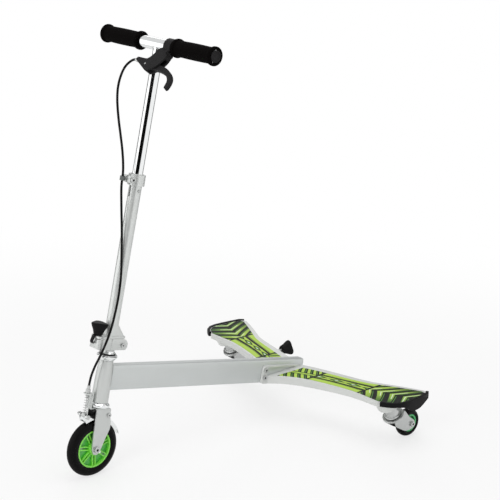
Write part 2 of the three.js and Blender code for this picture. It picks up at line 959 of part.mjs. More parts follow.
function cableStopBracket() {
  const { plateAft, thickness, halfWidth, top, earThickness, earFront } = cableStop;
  const { holeRadius, footThickness, corner } = cableStop;
  const plateBack = plateAft + thickness;
  const footLow = fork.top - footThickness;
  const earLow = top - earThickness;
  const upright = alongY(boxOutline(footLow, top, -halfWidth, halfWidth), plateAft, plateBack);
  const ear = alongZ(boxOutline(-halfWidth, halfWidth, earFront, plateBack, corner), earLow, top);
  const foot = alongZ(boxOutline(-halfWidth, halfWidth, plateAft, fork.front - gap), footLow, fork.top);
  const hole = rod(holeRadius, [0, brake.lineAft, earLow - overrun], [0, brake.lineAft, top + overrun]);
  return cut(join(upright, ear, foot), hole);
}

function barrelAdjuster() {
  const { threadRadius, threadBelow, knurlRadius, knurlHeight, sleeveRadius, sleeveTop } = adjuster;
  const bore = wire.radius + running;
  const seat = cableStop.top + gap;
  const low = cableStop.top - cableStop.earThickness - threadBelow;
  return turned(
    [
      [bore, low],
      [threadRadius, low],
      [threadRadius, seat],
      [knurlRadius, seat],
      [knurlRadius, seat + knurlHeight],
      [sleeveRadius, seat + knurlHeight],
      [sleeveRadius, sleeveTop - gap],
      [bore, sleeveTop - gap],
    ],
    [0, brake.lineAft, 0],
    axisZ,
    smallSides,
  );
}

function brakeWire() {
  const low = [0, brake.lineAft, brake.seatHeight + brake.seatThickness + gap];
  return rod(wire.radius, low, [0, brake.lineAft, adjuster.sleeveTop - gap], hexSides);
}

// The return spring: one open coil with straight ends, from its seat up to the cable stop's ear.
function springSolid() {
  const { coilRadius, wireRadius, turns, stepsPerTurn, sides } = returnSpring;
  const straight = wireRadius + wireRadius;
  const low = brake.seatHeight + brake.seatThickness + gap;
  const high = cableStop.top - cableStop.earThickness - gap;
  const coilHeight = high - low - straight - straight;
  const steps = turns * stepsPerTurn;
  const centres = [[coilRadius, 0, low]];
  for (let i = 0; i <= steps; i++) {
    const share = i / steps;
    const angle = share * turns * fullTurn;
    const height = low + straight + coilHeight * share;
    centres.push([Math.cos(angle) * coilRadius, Math.sin(angle) * coilRadius, height]);
  }
  centres.push([coilRadius, 0, high]);
  const line = centres.map(([x, y, z]) => new THREE.Vector3(x, y + brake.lineAft, z));
  reportSpringGap(line, wireRadius, stepsPerTurn);
  return tubeThrough(line, wireRadius, sides);
}

// Rings of a fixed number of sides about each centre, square to the line, closed with flat ends.
function tubeThrough(line, radius, sides) {
  const positions = [];
  line.forEach((centre, i) => {
    const atEnd = i === 0 || i === line.length - 1;
    const before = line[Math.max(i - 1, 0)];
    const after = line[Math.min(i + 1, line.length - 1)];
    const along = atEnd ? axisZ.clone() : after.clone().sub(before).normalize();
    const radial = centre.clone().sub(new THREE.Vector3(0, brake.lineAft, centre.z)).normalize();
    const normal = radial.sub(along.clone().multiplyScalar(radial.dot(along))).normalize();
    const binormal = along.clone().cross(normal);
    for (let side = 0; side < sides; side++) {
      const angle = (side / sides) * fullTurn;
      const point = centre.clone();
      point.addScaledVector(normal, Math.cos(angle) * radius);
      point.addScaledVector(binormal, Math.sin(angle) * radius);
      positions.push(point.x, point.y, point.z);
    }
  });
  const index = [];
  const at = (ring, side) => ring * sides + (side % sides);
  for (let ring = 0; ring < line.length - 1; ring++) {
    for (let side = 0; side < sides; side++) {
      index.push(at(ring, side), at(ring, side + 1), at(ring + 1, side + 1));
      index.push(at(ring, side), at(ring + 1, side + 1), at(ring + 1, side));
    }
  }
  for (let side = 1; side < sides - 1; side++) {
    index.push(at(0, 0), at(0, side + 1), at(0, side));
    index.push(at(line.length - 1, 0), at(line.length - 1, side), at(line.length - 1, side + 1));
  }
  const geometry = new THREE.BufferGeometry();
  geometry.setAttribute("position", new THREE.Float32BufferAttribute(positions, 3));
  geometry.setIndex(index);
  return toSolid(geometry);
}

function reportSpringGap(line, radius, stepsPerTurn) {
  const apart = Math.floor(stepsPerTurn / 2);
  let least = Infinity;
  line.forEach((here, i) => {
    line.slice(i + apart).forEach((there) => {
      least = Math.min(least, here.distanceTo(there));
    });
  });
  console.log("return spring: least gap to itself " + (least - radius - radius).toFixed(2) + " mm");
}

// Column, clamp and fold parts, in the steering frame.
function columnSolid() {
  const { radius, bore, top, boreBottom } = column;
  const { plateThickness, plateFront, plateAft, plateHalfWidth, plateCorner } = column;
  const { flareTop, flareFront, flareCorner } = column;
  const { tongueHalfWidth, tongueRadius, tongueFront, slitWidth, slitBottom } = column;
  const plateBottom = hinge.top + gap;
  const plateTop = plateBottom + plateThickness;
  const base = alongZ(
    boxOutline(-plateHalfWidth, plateHalfWidth, plateFront, plateAft, plateCorner),
    plateBottom,
    plateTop,
  );
  const flareHalfWidth = plateHalfWidth - flareCorner / 2;
  const flareAft = plateAft - flareCorner / 2;
  const foot = boxOutline(-flareHalfWidth, flareHalfWidth, flareFront, flareAft, flareCorner)
    .getPoints(arcSteps)
    .map((point) => new THREE.Vector3(point.x, point.y, plateTop - gap));
  const neck = Array.from({ length: roundSides }, (_, i) => {
    const angle = (i / roundSides) * fullTurn;
    return new THREE.Vector3(Math.sin(angle) * radius, Math.cos(angle) * radius, flareTop);
  });
  const flare = toSolid(new ConvexGeometry([...foot, ...neck]));
  const tube = rod(radius, [0, 0, plateTop - gap], [0, 0, top]);
  const inside = rod(bore, [0, 0, boreBottom], [0, 0, top + overrun]);
  const tongueTop = plateBottom + gap;
  const tongue = alongX(
    outline([
      [tongueFront, tongueTop],
      [hinge.pivotAft - tongueRadius, hinge.pivotHeight - tongueRadius, tongueRadius],
      [hinge.pivotAft + tongueRadius, hinge.pivotHeight - tongueRadius, tongueRadius],
      [hinge.pivotAft + tongueRadius, tongueTop],
    ]),
    -tongueHalfWidth,
    tongueHalfWidth,
  );
  const pivotHole = rod(
    foldPivot.radius + gap,
    [-hinge.halfWidth, hinge.pivotAft, hinge.pivotHeight],
    [hinge.halfWidth, hinge.pivotAft, hinge.pivotHeight],
    smallSides,
  );
  const boltHole = rod(
    foldKnob.boltRadius + gap,
    [0, foldKnob.aft, plateBottom - overrun],
    [0, foldKnob.aft, plateTop + overrun],
    smallSides,
  );
  const slit = alongZ(
    boxOutline(-slitWidth / 2, slitWidth / 2, -radius - overrun, -bore / 2),
    slitBottom,
    top + overrun,
  );
  const buttonHole = rod(
    heightButton.radius + gap,
    [bore / 2, 0, heightButton.height],
    [radius + overrun, 0, heightButton.height],
    smallSides,
  );
  return cut(join(base, flare, tube, tongue), inside, pivotHole, boltHole, slit, buttonHole);
}

function clampCollar() {
  const { bottom, top, radius, earFront, earHalfWidth, earBottom, earTop, earCorner, splitWidth } = clamp;
  const { boltAft, boltHeight, boltRadius } = clamp;
  const band = rod(radius, [0, 0, bottom], [0, 0, top]);
  const ears = alongX(
    outline([
      [earFront, earBottom, earCorner],
      [-column.radius - gap, earBottom],
      [-column.radius - gap, earTop],
      [earFront, earTop, earCorner],
    ]),
    -earHalfWidth,
    earHalfWidth,
  );
  const bore = rod(column.radius + gap, [0, 0, bottom - overrun], [0, 0, top + overrun]);
  const split = alongZ(
    boxOutline(-splitWidth / 2, splitWidth / 2, earFront - overrun, 0),
    bottom - overrun,
    top + overrun,
  );
  const boltHole = rod(
    boltRadius + gap,
    [-earHalfWidth - overrun, boltAft, boltHeight],
    [earHalfWidth + overrun, boltAft, boltHeight],
    smallSides,
  );
  return cut(join(band, ears), bore, split, boltHole);
}

function clampBolt() {
  const { earHalfWidth, boltAft, boltHeight, boltRadius, headRadius, headHeight, socketRadius } = clamp;
  const { pivotAcross, barrelRadius } = quickLever;
  const face = earHalfWidth + gap;
  const at = (x) => [x, boltAft, boltHeight];
  const shank = rod(boltRadius, at(pivotAcross + barrelRadius + gap), at(face + headHeight), smallSides);
  const head = rod(headRadius, at(face), at(face + headHeight), roundSides);
  const socket = rod(socketRadius, at(face + headHeight / 2), at(face + headHeight + overrun), hexSides);
  return cut(join(shank, head), socket);
}

// The quick lever: a cam barrel at the far end of the clamp's bolt and a curved arm that lies aft.
function quickLeverSolid() {
  const { barrelRadius, barrelHeight, pivotAcross, reach } = quickLever;
  const { thickness, rise, tipHeight, rootHeight } = quickLever;
  const { boltAft, boltHeight } = clamp;
  const half = barrelHeight / 2;
  const barrel = rod(
    barrelRadius,
    [pivotAcross, boltAft, boltHeight - half],
    [pivotAcross, boltAft, boltHeight + half],
  );
  const outer = pivotAcross - barrelRadius;
  const armPlan = outline([
    [outer, boltAft],
    [outer - rise, boltAft + reach / 2, reach / 4],
    [outer - rise, boltAft + reach, thickness / 2],
    [outer - rise + thickness, boltAft + reach, thickness / 2],
    [outer - rise + thickness, boltAft + reach / 2, reach / 4],
    [pivotAcross, boltAft + barrelRadius / 2],
  ]);
  const armSide = outline([
    [boltAft, boltHeight - rootHeight / 2],
    [boltAft + reach, boltHeight - tipHeight / 2, rise],
    [boltAft + reach, boltHeight + tipHeight / 2, rise],
    [boltAft, boltHeight + rootHeight / 2],
  ]);
  const arm = common(
    alongZ(armPlan, boltHeight - tipHeight, boltHeight + tipHeight),
    alongX(armSide, outer - rise - overrun, 0),
  );
  return join(barrel, arm);
}

function cableGuideSolid() {
  const { across, aft, bore, radius, bottom, height, tabHalfWidth } = cableGuide;
  const ring = rod(radius, [across, aft, bottom], [across, aft, bottom + height]);
  const tab = alongZ(
    boxOutline(across - tabHalfWidth, across + tabHalfWidth, aft, clamp.earFront - gap),
    bottom,
    bottom + height,
  );
  const hole = rod(
    bore,
    [across, aft, bottom - overrun],
    [across, aft, bottom + height + overrun],
    smallSides,
  );
  return cut(join(ring, tab), hole);
}

function heightButtonSolid() {
  const { height, radius, inner, proud, dome } = heightButton;
  const end = column.radius + proud - inner;
  return turned(
    [[0, 0], [radius, 0], [radius, end - dome], [radius - dome, end], [0, end]],
    [inner, 0, height],
    axisX,
    smallSides,
  );
}

// A three-lobed knob that widens away from its neck, with a blind bore in its foot.
function lobedKnob(boltRadius, boreDepth) {
  const { radius, lobe, neckRadius, length } = foldKnob;
  const points = knobShares.map(([r, h]) => new THREE.Vector2(r * neckRadius, h * length));
  const lathe = new THREE.LatheGeometry(points, roundSides);
  const place = lathe.attributes.position;
  for (let i = 0; i < place.count; i++) {
    const vertex = new THREE.Vector3().fromBufferAttribute(place, i);
    const angle = Math.atan2(vertex.x, vertex.z);
    const flatRadius = Math.hypot(vertex.x, vertex.z);
    const share = THREE.MathUtils.clamp((flatRadius - neckRadius) / (radius - neckRadius), 0, 1);
    const grown = flatRadius > 0 ? 1 + (share * lobe * Math.cos(angle + angle + angle)) / flatRadius : 1;
    place.setXYZ(i, vertex.x * grown, vertex.y, vertex.z * grown);
  }
  lathe.applyQuaternion(new THREE.Quaternion().setFromUnitVectors(axisY, axisZ));
  const bore = rod(boltRadius + gap, [0, 0, -overrun], [0, 0, boreDepth], smallSides);
  return cut(toSolid(lathe), bore);
}

const flangeTop = hinge.top + gap + column.plateThickness;

function foldKnobSolid() {
  const knob = lobedKnob(foldKnob.boltRadius, foldKnob.boltInside + gap);
  return knob.translate([0, foldKnob.aft, flangeTop + gap + foldCatch.thickness + gap]);
}

// The knob's screw, down through the column's foot into the hinge block's front.
function foldBolt() {
  const { boltRadius, boltInside, boltBelow, aft } = foldKnob;
  return rod(boltRadius, [0, aft, hinge.top - boltBelow], [0, aft, flangeTop + gap + boltInside], smallSides);
}

// The spring catch that hooks over the hinge block's front.
function foldCatchSolid() {
  const { halfWidth, thickness, rise, reach, hookBottom, pivotAft } = foldCatch;
  const low = flangeTop + gap;
  const front = hinge.front - reach;
  const strip = outline([
    [pivotAft + foldKnob.neckRadius, low],
    [pivotAft + foldKnob.neckRadius, low + thickness],
    [front + rise, low + thickness, rise],
    [front - thickness, hookBottom + rise, rise],
    [front + rise / 2, hookBottom],
    [front + rise, hookBottom + thickness],
    [front, hookBottom + rise + thickness, rise / 2],
    [front + rise, low, rise / 2],
  ]);
  const hole = rod(
    foldKnob.boltRadius + gap,
    [0, foldKnob.aft, low - overrun],
    [0, foldKnob.aft, low + thickness + overrun],
    smallSides,
  );
  return cut(alongX(strip, -halfWidth, halfWidth), hole);
}

// Handlebar, in the steering frame.
function handlebarSolid() {
  const { stemRadius, stemWall, stemBottom, buttonHoleRadius } = handlebar;
  const { crossHeight, crossRadius, crossHalfLength } = handlebar;
  const stemBore = stemRadius - stemWall;
  const stem = rod(stemRadius, [0, 0, stemBottom], [0, 0, crossHeight]);
  const cross = rod(crossRadius, [-crossHalfLength, 0, crossHeight], [crossHalfLength, 0, crossHeight]);
  const stemInside = rod(stemBore, [0, 0, stemBottom - overrun], [0, 0, crossHeight]);
  const reach = crossHalfLength + overrun;
  const crossInside = rod(crossBore, [-reach, 0, crossHeight], [reach, 0, crossHeight]);
  const buttonHole = rod(
    buttonHoleRadius,
    [0, 0, heightButton.height],
    [stemRadius + overrun, 0, heightButton.height],
    smallSides,
  );
  return cut(join(stem, cross), stemInside, crossInside, buttonHole);
}

function gripSolid() {
  const { inner, outer, foam, crown, ring, ringWidth, ringRound } = grip;
  const bodyRadius = handlebar.crossRadius + foam;
  const crownRadius = bodyRadius + crown;
  const ringRadius = bodyRadius + ring;
  const bore = handlebar.crossRadius + gap;
  const length = outer - inner;
  const ringEnd = ringWidth + ringRound;
  return turned(
    [
      [bore, 0],
      [ringRadius - ringRound, 0],
      [ringRadius, ringRound],
      [ringRadius, ringWidth],
      [bodyRadius, ringEnd],
      [crownRadius, length / 2],
      [bodyRadius, length - ringEnd],
      [ringRadius, length - ringWidth],
      [ringRadius, length - ringRound],
      [ringRadius - ringRound, length],
      [bore, length],
    ],
    [inner, 0, handlebar.crossHeight],
    axisX,
  );
}

function endPlugSolid() {
  const { inset, proud, depth, recessRadius, recessDepth } = endPlug;
  const radius = handlebar.crossRadius - inset;
  const inside = crossBore - gap;
  const face = depth + proud + gap;
  return turned(
    [
      [0, 0],
      [inside, 0],
      [inside, depth + gap],
      [radius, depth + gap],
      [radius, face - recessDepth],
      [radius - recessDepth, face],
      [recessRadius, face],
      [recessRadius - recessDepth, face - recessDepth],
      [0, face - recessDepth],
    ],
    [handlebar.crossHalfLength - depth, 0, handlebar.crossHeight],
    axisX,
  );
}

// Carries a solid built in (x, e, n) about the crossbar into the steering frame.
const leverFrame = new THREE.Matrix4()
  .makeBasis(
    axisX,
    new THREE.Vector3(0, -leverPlane.forwardShare, -leverPlane.downShare),
    new THREE.Vector3(0, leverPlane.downShare, -leverPlane.forwardShare),
  )
  .setPosition(0, 0, handlebar.crossHeight);
const inLeverPlane = (solid) => placed(solid, leverFrame);

function leverPerch() {
  const { bandFrom, bandTo, bandWall, halfThickness, slotHalfWidth, slotFrom, slotOuterFrom } = perch;
  const bandRadius = handlebar.crossRadius + bandWall;
  const { armInner, armElbow, armOuter } = perch;
  const { armRoot, bodyTop, barrelEnd, barrelLow, bodyLow } = perch;
  const { bodyLowFrom, bodyLowTo, toeAcross, toeLow, corner } = perch;
  const band = rod(bandRadius, [bandFrom, 0, 0], [bandTo, 0, 0]);
  const body = alongZ(
    outline([
      [armInner + corner, armRoot],
      [armInner, armElbow / 2, corner],
      [armInner - corner, armElbow, corner],
      [armInner / 2, bodyTop, corner],
      [barrelEnd, bodyTop, corner / 2],
      [barrelEnd, barrelLow, corner / 2],
      [bodyLowFrom, bodyLow - corner - corner, corner],
      [bodyLowTo, bodyLow, corner],
      [toeAcross, toeLow, corner],
      [armOuter, armElbow, corner],
      [bandTo, armRoot],
    ]),
    -halfThickness,
    halfThickness,
  );
  const boss = rod(
    perch.boltRadius,
    [armOuter - perch.corner, armRoot + bandRadius / 2, -halfThickness - perch.boltLength],
    [armOuter - perch.corner, armRoot + bandRadius / 2, halfThickness],
    smallSides,
  );
  const bore = rod(handlebar.crossRadius + gap, [0, 0, 0], [beyond, 0, 0]);
  const slotStart = lever.pivotAcross - lever.rootRadius - corner;
  const slot = alongZ(
    outline([
      [slotStart, slotFrom],
      [lever.pivotAcross, slotFrom],
      [armOuter, slotOuterFrom],
      [beyond, slotOuterFrom],
      [beyond, beyond],
      [slotStart, beyond],
    ]),
    -slotHalfWidth,
    slotHalfWidth,
  );
  const pinHole = rod(
    lever.pivotRadius + gap,
    [lever.pivotAcross, lever.pivotOut, -halfThickness - overrun],
    [lever.pivotAcross, lever.pivotOut, halfThickness + overrun],
    smallSides,
  );
  return inLeverPlane(cut(join(band, body, boss), bore, slot, pinHole));
}

function leverPin() {
  const { pivotAcross, pivotOut, pivotRadius } = lever;
  const at = (n) => [pivotAcross, pivotOut, n];
  return inLeverPlane(rod(pivotRadius, at(-perch.halfThickness), at(perch.halfThickness), smallSides));
}

function brakeLever() {
  const { pivotAcross, pivotOut, pivotRadius, rootRadius, halfThickness, rootDepth, tipDepth } = lever;
  const { kneeAcross, kneeOut, bendAcross, bendOut, hookAcross, hookOut } = leverLine;
  const centre = smooth(
    [
      new THREE.Vector2(pivotAcross, pivotOut),
      new THREE.Vector2(kneeAcross, kneeOut),
      new THREE.Vector2(bendAcross, bendOut),
      new THREE.Vector2(hookAcross, hookOut),
      new THREE.Vector2(leverTip.across, leverTip.out),
    ],
    curveSteps,
  );
  const depthAt = (i) => lerp(rootDepth, tipDepth, i / (centre.length - 1)) / 2;
  const upper = centre.map((point, i) => inset(centre, -depthAt(i))[i]);
  const lower = centre.map((point, i) => inset(centre, depthAt(i))[i]);
  const blade = alongZ(new THREE.Shape([...upper, ...lower.toReversed()]), -halfThickness, halfThickness);
  const root = rod(
    rootRadius,
    [pivotAcross, pivotOut, -halfThickness],
    [pivotAcross, pivotOut, halfThickness],
  );
  const tip = rod(
    tipDepth / 2,
    [leverTip.across, leverTip.out, -halfThickness],
    [leverTip.across, leverTip.out, halfThickness],
    smallSides,
  );
  const hole = rod(
    pivotRadius + gap,
    [pivotAcross, pivotOut, -halfThickness - overrun],
    [pivotAcross, pivotOut, halfThickness + overrun],
    smallSides,
  );
  return inLeverPlane(cut(join(blade, root, tip), hole));
}

function cableFerrule() {
  const { radius, length, collarRadius, collarLength } = ferrule;
  const out = (perch.bodyTop + perch.barrelLow) / 2;
  const start = [perch.barrelEnd - gap - length, out, 0];
  const collarStart = length - collarLength;
  return inLeverPlane(
    turned(
      [
        [0, 0],
        [radius, 0],
        [radius, collarStart],
        [collarRadius, collarStart],
        [collarRadius, length],
        [0, length],
      ],
      start,
      axisX,
      smallSides,
    ),
  );
}

// Frame tube, in the steering frame, and wings, in the standing frame.
function mainTubeSolid() {
  const { halfWidth, bottom, top, aft, wall, corner } = mainTube;
  const outer = alongY(boxOutline(bottom, top, -halfWidth, halfWidth, corner), 0, aft);
  const inside = halfWidth - wall;
  const inner = alongY(
    boxOutline(bottom + wall, top - wall, -inside, inside, wall),
    -overrun,
    aft + overrun,
  );
  const boltHoles = wingBolt.heights.map((height) =>
    rod(
      wingBolt.radius + gap,
      [-halfWidth - overrun, wingBolt.aft, height],
      [halfWidth + overrun, wingBolt.aft, height],
      smallSides,
    ),
  );
  return cut(outer, inner, headTubeSolid(gap), ...boltHoles);
}

function tubeEndCap() {
  const { halfWidth, bottom, top, aft, wall, corner } = mainTube;
  const { thickness, plugDepth } = endCap;
  const fit = wall + gap;
  const start = aft + gap;
  const face = alongY(boxOutline(bottom, top, -halfWidth, halfWidth, corner), start, start + thickness);
  const plug = alongY(
    boxOutline(bottom + fit, top - fit, fit - halfWidth, halfWidth - fit, wall),
    aft - plugDepth,
    start + thickness / 2,
  );
  return join(face, plug);
}

// Points along the wing's front edge, round its tip and back along its rear edge, for the +X side.
function wingEdges() {
  const { rootAcross, frontRoot, frontTip, frontTipInset, rearRoot, rearTip, rearTipInset, reach } = wing;
  const frontTipAcross = reach - frontTipInset;
  const rearTipAcross = reach - rearTipInset;
  const at = (shares, x0, x1, y0, y1) =>
    shares.map(([across, along]) => new THREE.Vector2(lerp(x0, x1, across), lerp(y0, y1, along)));
  const front = smooth(at(frontEdgeShares, rootAcross, frontTipAcross, frontRoot, frontTip), curveSteps);
  const rear = smooth(at(rearEdgeShares, rootAcross, rearTipAcross, rearRoot, rearTip), curveSteps);
  const tip = smooth(at(tipShares, frontTipAcross, reach, frontTip, rearTip), tipSteps);
  return { front, rear, tip };
}

// The boss under the wing's tip, square to the swivel line, that the caster is bolted to.
function podSolid() {
  const { radius, above, round, reach } = pod;
  const boss = turned(
    [[0, above], [radius - round, above], [radius, above + round], [radius, reach], [0, reach]],
    [0, 0, 0],
    axisZ,
    casterSides,
  );
  const belowDeck = alongZ(boxOutline(0, beyond, 0, beyond), 0, wing.top - wing.deckThickness / 2);
  return common(onSwivel(boss), belowDeck);
}

const steeringFrame = new THREE.Matrix4().makeRotationX(-steeringLean).setPosition(0, 0, frontWheel.radius);
const leaned = (solid) => placed(solid, steeringFrame);

function wingFlange() {
  const { rootAcross, flangeThickness, flangeFront, flangeAft } = wing;
  const { flangeBottom, flangeTop: top, flangeCorner } = wing;
  const { windowFront, windowAft, windowTop, windowLow, windowCorner } = wing;
  const outerFace = rootAcross + flangeThickness;
  const face = boxOutline(flangeFront, flangeAft, flangeBottom, top, flangeCorner);
  const side = alongX(face, rootAcross, outerFace);
  const window = alongX(
    outline([
      [windowFront, windowTop, windowCorner],
      [windowAft, windowTop],
      [windowFront, windowLow, windowCorner],
    ]),
    rootAcross - overrun,
    outerFace + overrun,
  );
  const holes = wingBolt.heights.map((height) =>
    rod(
      wingBolt.radius + gap,
      [0, wingBolt.aft, height],
      [outerFace + overrun, wingBolt.aft, height],
      smallSides,
    ),
  );
  const belowWing = alongZ(boxOutline(0, beyond, 0, beyond), 0, wing.top - wing.rootThickness);
  return cut(leaned(cut(side, window, ...holes)), belowWing);
}

// The wing casting: a thin deck with a rim and cross ribs below, a flange and the caster's pod.
function wingSolid() {
  const { rootAcross, top, rootThickness, tipThickness, taperFrom } = wing;
  const { reach, deckThickness, wall, ribThickness } = wing;
  const { front, rear, tip } = wingEdges();
  const innerTip = inset(tip, bumper.thickness + gap);
  const plan = [...front, ...innerTip, ...rear.toReversed()];
  const low = top - rootThickness;
  const body = alongZ(new THREE.Shape(plan), low, top);
  const tapered = alongY(
    outline([
      [low, rootAcross],
      [low, taperFrom],
      [top - tipThickness, reach],
      [top, reach],
      [top, rootAcross],
    ]),
    0,
    beyond,
  );
  const hollowPlan = [...inset(front, wall), ...inset(innerTip, wall), ...inset(rear.toReversed(), wall)];
  const hollow = alongZ(new THREE.Shape(hollowPlan), low - overrun, top - deckThickness);
  const root = alongZ(boxOutline(0, rootAcross + wing.flangeThickness + wall, 0, beyond), 0, top);
  const ribs = ribShares.map((share) => {
    const x = lerp(rootAcross, reach, share);
    return alongZ(boxOutline(x, x + ribThickness, 0, beyond), 0, top);
  });
  const shell = cut(common(body, tapered), cut(hollow, root, ...ribs));
  const pocket = deckPadSolid(gap, top - deckPad.depth - gap, top + overrun);
  return cut(join(shell, podSolid(), wingFlange()), pocket, ...wingBoltHeadSpaces());
}

function wingBoltHeadSpaces() {
  const from = wing.rootAcross + wing.flangeThickness;
  const to = from + wingBolt.headRoom;
  return wingBolt.heights.map((height) =>
    leaned(rod(wingBolt.headRadius + gap, [from, wingBolt.aft, height], [to, wingBolt.aft, height])),
  );
}

// The deck's pad, or with a margin the pocket that it lies in.
function deckPadSolid(margin, from, to) {
  const { front: padFront, frontRim, rearRimRoot, rearRimTip, tipRim } = deckPad;
  const { front, rear, tip } = wingEdges();
  const last = rear.length - 1;
  const back = rear.map(
    (point, i) => new THREE.Vector2(point.x, point.y + margin - lerp(rearRimRoot, rearRimTip, i / last)),
  );
  const innerTip = inset(tip, bumper.thickness + gap + tipRim - margin);
  const withinTip = innerTip.filter((point) => point.y > wing.frontTip && point.y < back[last].y);
  const plan = [...inset(front, frontRim - margin), ...withinTip, ...back.toReversed()];
  const aside = boxOutline(padFront - margin, beyond, 0, beyond);
  return common(alongZ(new THREE.Shape(plan), from, to), alongZ(aside, from, to));
}

function tipBumper() {
  const { thickness, top, bottom, apronBottom, apronFront } = bumper;
  const { apronLowFrom, apronLowTo, apronAft, round, apronRound } = bumper;
  const { tip } = wingEdges();
  const wrap = new THREE.Shape([...tip, ...inset(tip, thickness).toReversed()]);
  const band = alongZ(wrap, apronBottom - overrun, top);
  const side = outline([
    [wing.frontTip - round, top, round],
    [wing.frontTip - round, bottom, round],
    [apronFront, bottom, apronRound],
    [apronLowFrom, apronBottom, apronRound],
    [apronLowTo, apronBottom, apronRound],
    [apronAft, bottom, round],
    [wing.rearTip + round, bottom, round],
    [wing.rearTip + round, top, round],
  ]);
  return common(band, alongX(side, 0, wing.reach + overrun));
}

function wingBoltSolid(height) {
  const halfGrip = wing.rootAcross + wing.flangeThickness;
  return crossBolt(wingBolt, halfGrip, wingBolt.aft, height);
}

// Casters, in a frame with its zero at the ring's middle and z up the swivel line.
const swivelFrame = new THREE.Matrix4()
  .makeRotationX(casterLean)
  .setPosition(casterAcross, caster.ringAft, caster.ringHeight);
const onSwivel = (solid) => placed(solid, swivelFrame);

// The caster axle's place along and below the swivel line's frame.
const axlePlace = new THREE.Vector3(casterAcross, caster.axleAft, caster.wheelRadius)
  .applyMatrix4(swivelFrame.clone().invert());

// The caster's upper half: kingpin, ball race, neck and mounting plate under the wing's boss.
function casterRaceSolid() {
  const { kingpinRadius, headRadius, headHeight, flangeRadius } = casterRace;
  const { flangeLow, flangeEdge, flangeHigh } = casterRace;
  const { shoulderRadius, shoulderHigh, neckRadius, neckLow, mountRadius, mountThickness } = casterRace;
  const headTop = casterFork.crownTop - casterFork.wall - gap;
  const mountTop = pod.above - gap;
  const mountLow = mountTop - mountThickness;
  return onSwivel(
    turned(
      [
        [0, headTop - headHeight],
        [headRadius - headHeight / 2, headTop - headHeight],
        [headRadius, headTop],
        [kingpinRadius, headTop],
        [kingpinRadius, flangeLow],
        [flangeRadius - flangeLow, flangeLow],
        [flangeRadius, flangeEdge],
        [flangeRadius - flangeLow, flangeHigh],
        [shoulderRadius, flangeHigh],
        [shoulderRadius, shoulderHigh],
        [neckRadius, neckLow],
        [neckRadius, mountLow],
        [mountRadius, mountLow],
        [mountRadius, mountTop],
        [0, mountTop],
      ],
      [0, 0, 0],
    ),
  );
}

function casterForkSolid() {
  const { ringRadius, ringTop, ringRound, crownTop, wall } = casterFork;
  const { frontEdge, rearEdge, rearWaist } = casterFork;
  const halfWidth = casterForkHalfWidth;
  const { rearWaistDrop, tipRadius, heelAft, heelDrop, frontHeel, frontHeelDrop, corner } = casterFork;
  const { y: aft, z: drop } = axlePlace;
  const side = outline([
    [frontEdge, crownTop],
    [frontHeel, -frontHeelDrop, corner],
    [heelAft, -heelDrop, tipRadius],
    [aft - tipRadius / 2, drop - tipRadius, tipRadius / 2],
    [aft + tipRadius / 2, drop - tipRadius, tipRadius / 3],
    [aft + tipRadius, drop, tipRadius / 2],
    [rearWaist, -rearWaistDrop, corner],
    [rearEdge, crownTop],
  ]);
  const inside = halfWidth - wall;
  const low = drop - tipRadius - overrun;
  const section = outline([
    [low, -halfWidth],
    [low, -inside],
    [crownTop - wall, -inside, corner],
    [crownTop - wall, inside, corner],
    [low, inside],
    [low, halfWidth],
    [crownTop, halfWidth, corner],
    [crownTop, -halfWidth, corner],
  ]);
  const yoke = common(alongX(side, -halfWidth, halfWidth), alongY(section, -beyond, beyond));
  const ring = turned(
    [
      [casterRace.kingpinRadius + gap, crownTop - wall / 2],
      [ringRadius - ringRound, crownTop - wall / 2],
      [ringRadius, crownTop + ringRound / 2],
      [ringRadius, ringTop - ringRound / 2],
      [ringRadius - ringRound / 2, ringTop],
      [casterRace.flangeRadius + gap, ringTop],
      [casterRace.flangeRadius - ringRound, 0],
      [casterRace.kingpinRadius + gap, 0],
    ],
    [0, 0, 0],
  );
  const pinHole = rod(casterRace.kingpinRadius + gap, [0, 0, crownTop - wall - overrun], [0, 0, 0]);
  const axleHole = rod(
    casterAxle.radius + gap,
    [-halfWidth - overrun, aft, drop],
    [halfWidth + overrun, aft, drop],
    smallSides,
  );
  return onSwivel(cut(join(yoke, ring), pinHole, axleHole));
}

function casterTyre() {
  const { wheelRadius, wheelHalfWidth, shoulderRadius, hubRadius, hubHalfWidth } = caster;
  const inner = hubRadius + gap;
  const crown = treadCrown(shoulderRadius, wheelRadius, wheelHalfWidth);
  const centre = [casterAcross, caster.axleAft, wheelRadius];
  return turned([[inner, -hubHalfWidth], ...crown, [inner, hubHalfWidth]], centre, axisX, casterSides);
}

function casterHub() {
  const { wheelRadius, hubRadius, hubHalfWidth, bossRadius, webHalfWidth } = caster;
  const { hubWindows, windowFrom, windowTo, windowWidth } = caster;
  const bossHalfWidth = casterForkHalfWidth - casterFork.wall - gap;
  const bore = casterAxle.radius + running;
  const body = turned(
    [
      [bore, -bossHalfWidth],
      [bossRadius, -bossHalfWidth],
      [bossRadius, -webHalfWidth],
      [windowTo, -webHalfWidth],
      [windowTo + gap, -hubHalfWidth],
      [hubRadius, -hubHalfWidth],
      [hubRadius, hubHalfWidth],
      [windowTo + gap, hubHalfWidth],
      [windowTo, webHalfWidth],
      [bossRadius, webHalfWidth],
      [bossRadius, bossHalfWidth],
      [bore, bossHalfWidth],
    ],
    [0, 0, 0],
    axisX,
    casterSides,
  );
  const windows = Array.from({ length: hubWindows }, (_, i) => {
    const turn = new THREE.Matrix4().makeRotationX((i / hubWindows) * fullTurn);
    const shape = boxOutline(-windowWidth / 2, windowWidth / 2, windowFrom, windowTo - gap);
    return placed(alongX(shape, -hubHalfWidth, hubHalfWidth), turn);
  });
  return cut(body, ...windows).translate([casterAcross, caster.axleAft, wheelRadius]);
}

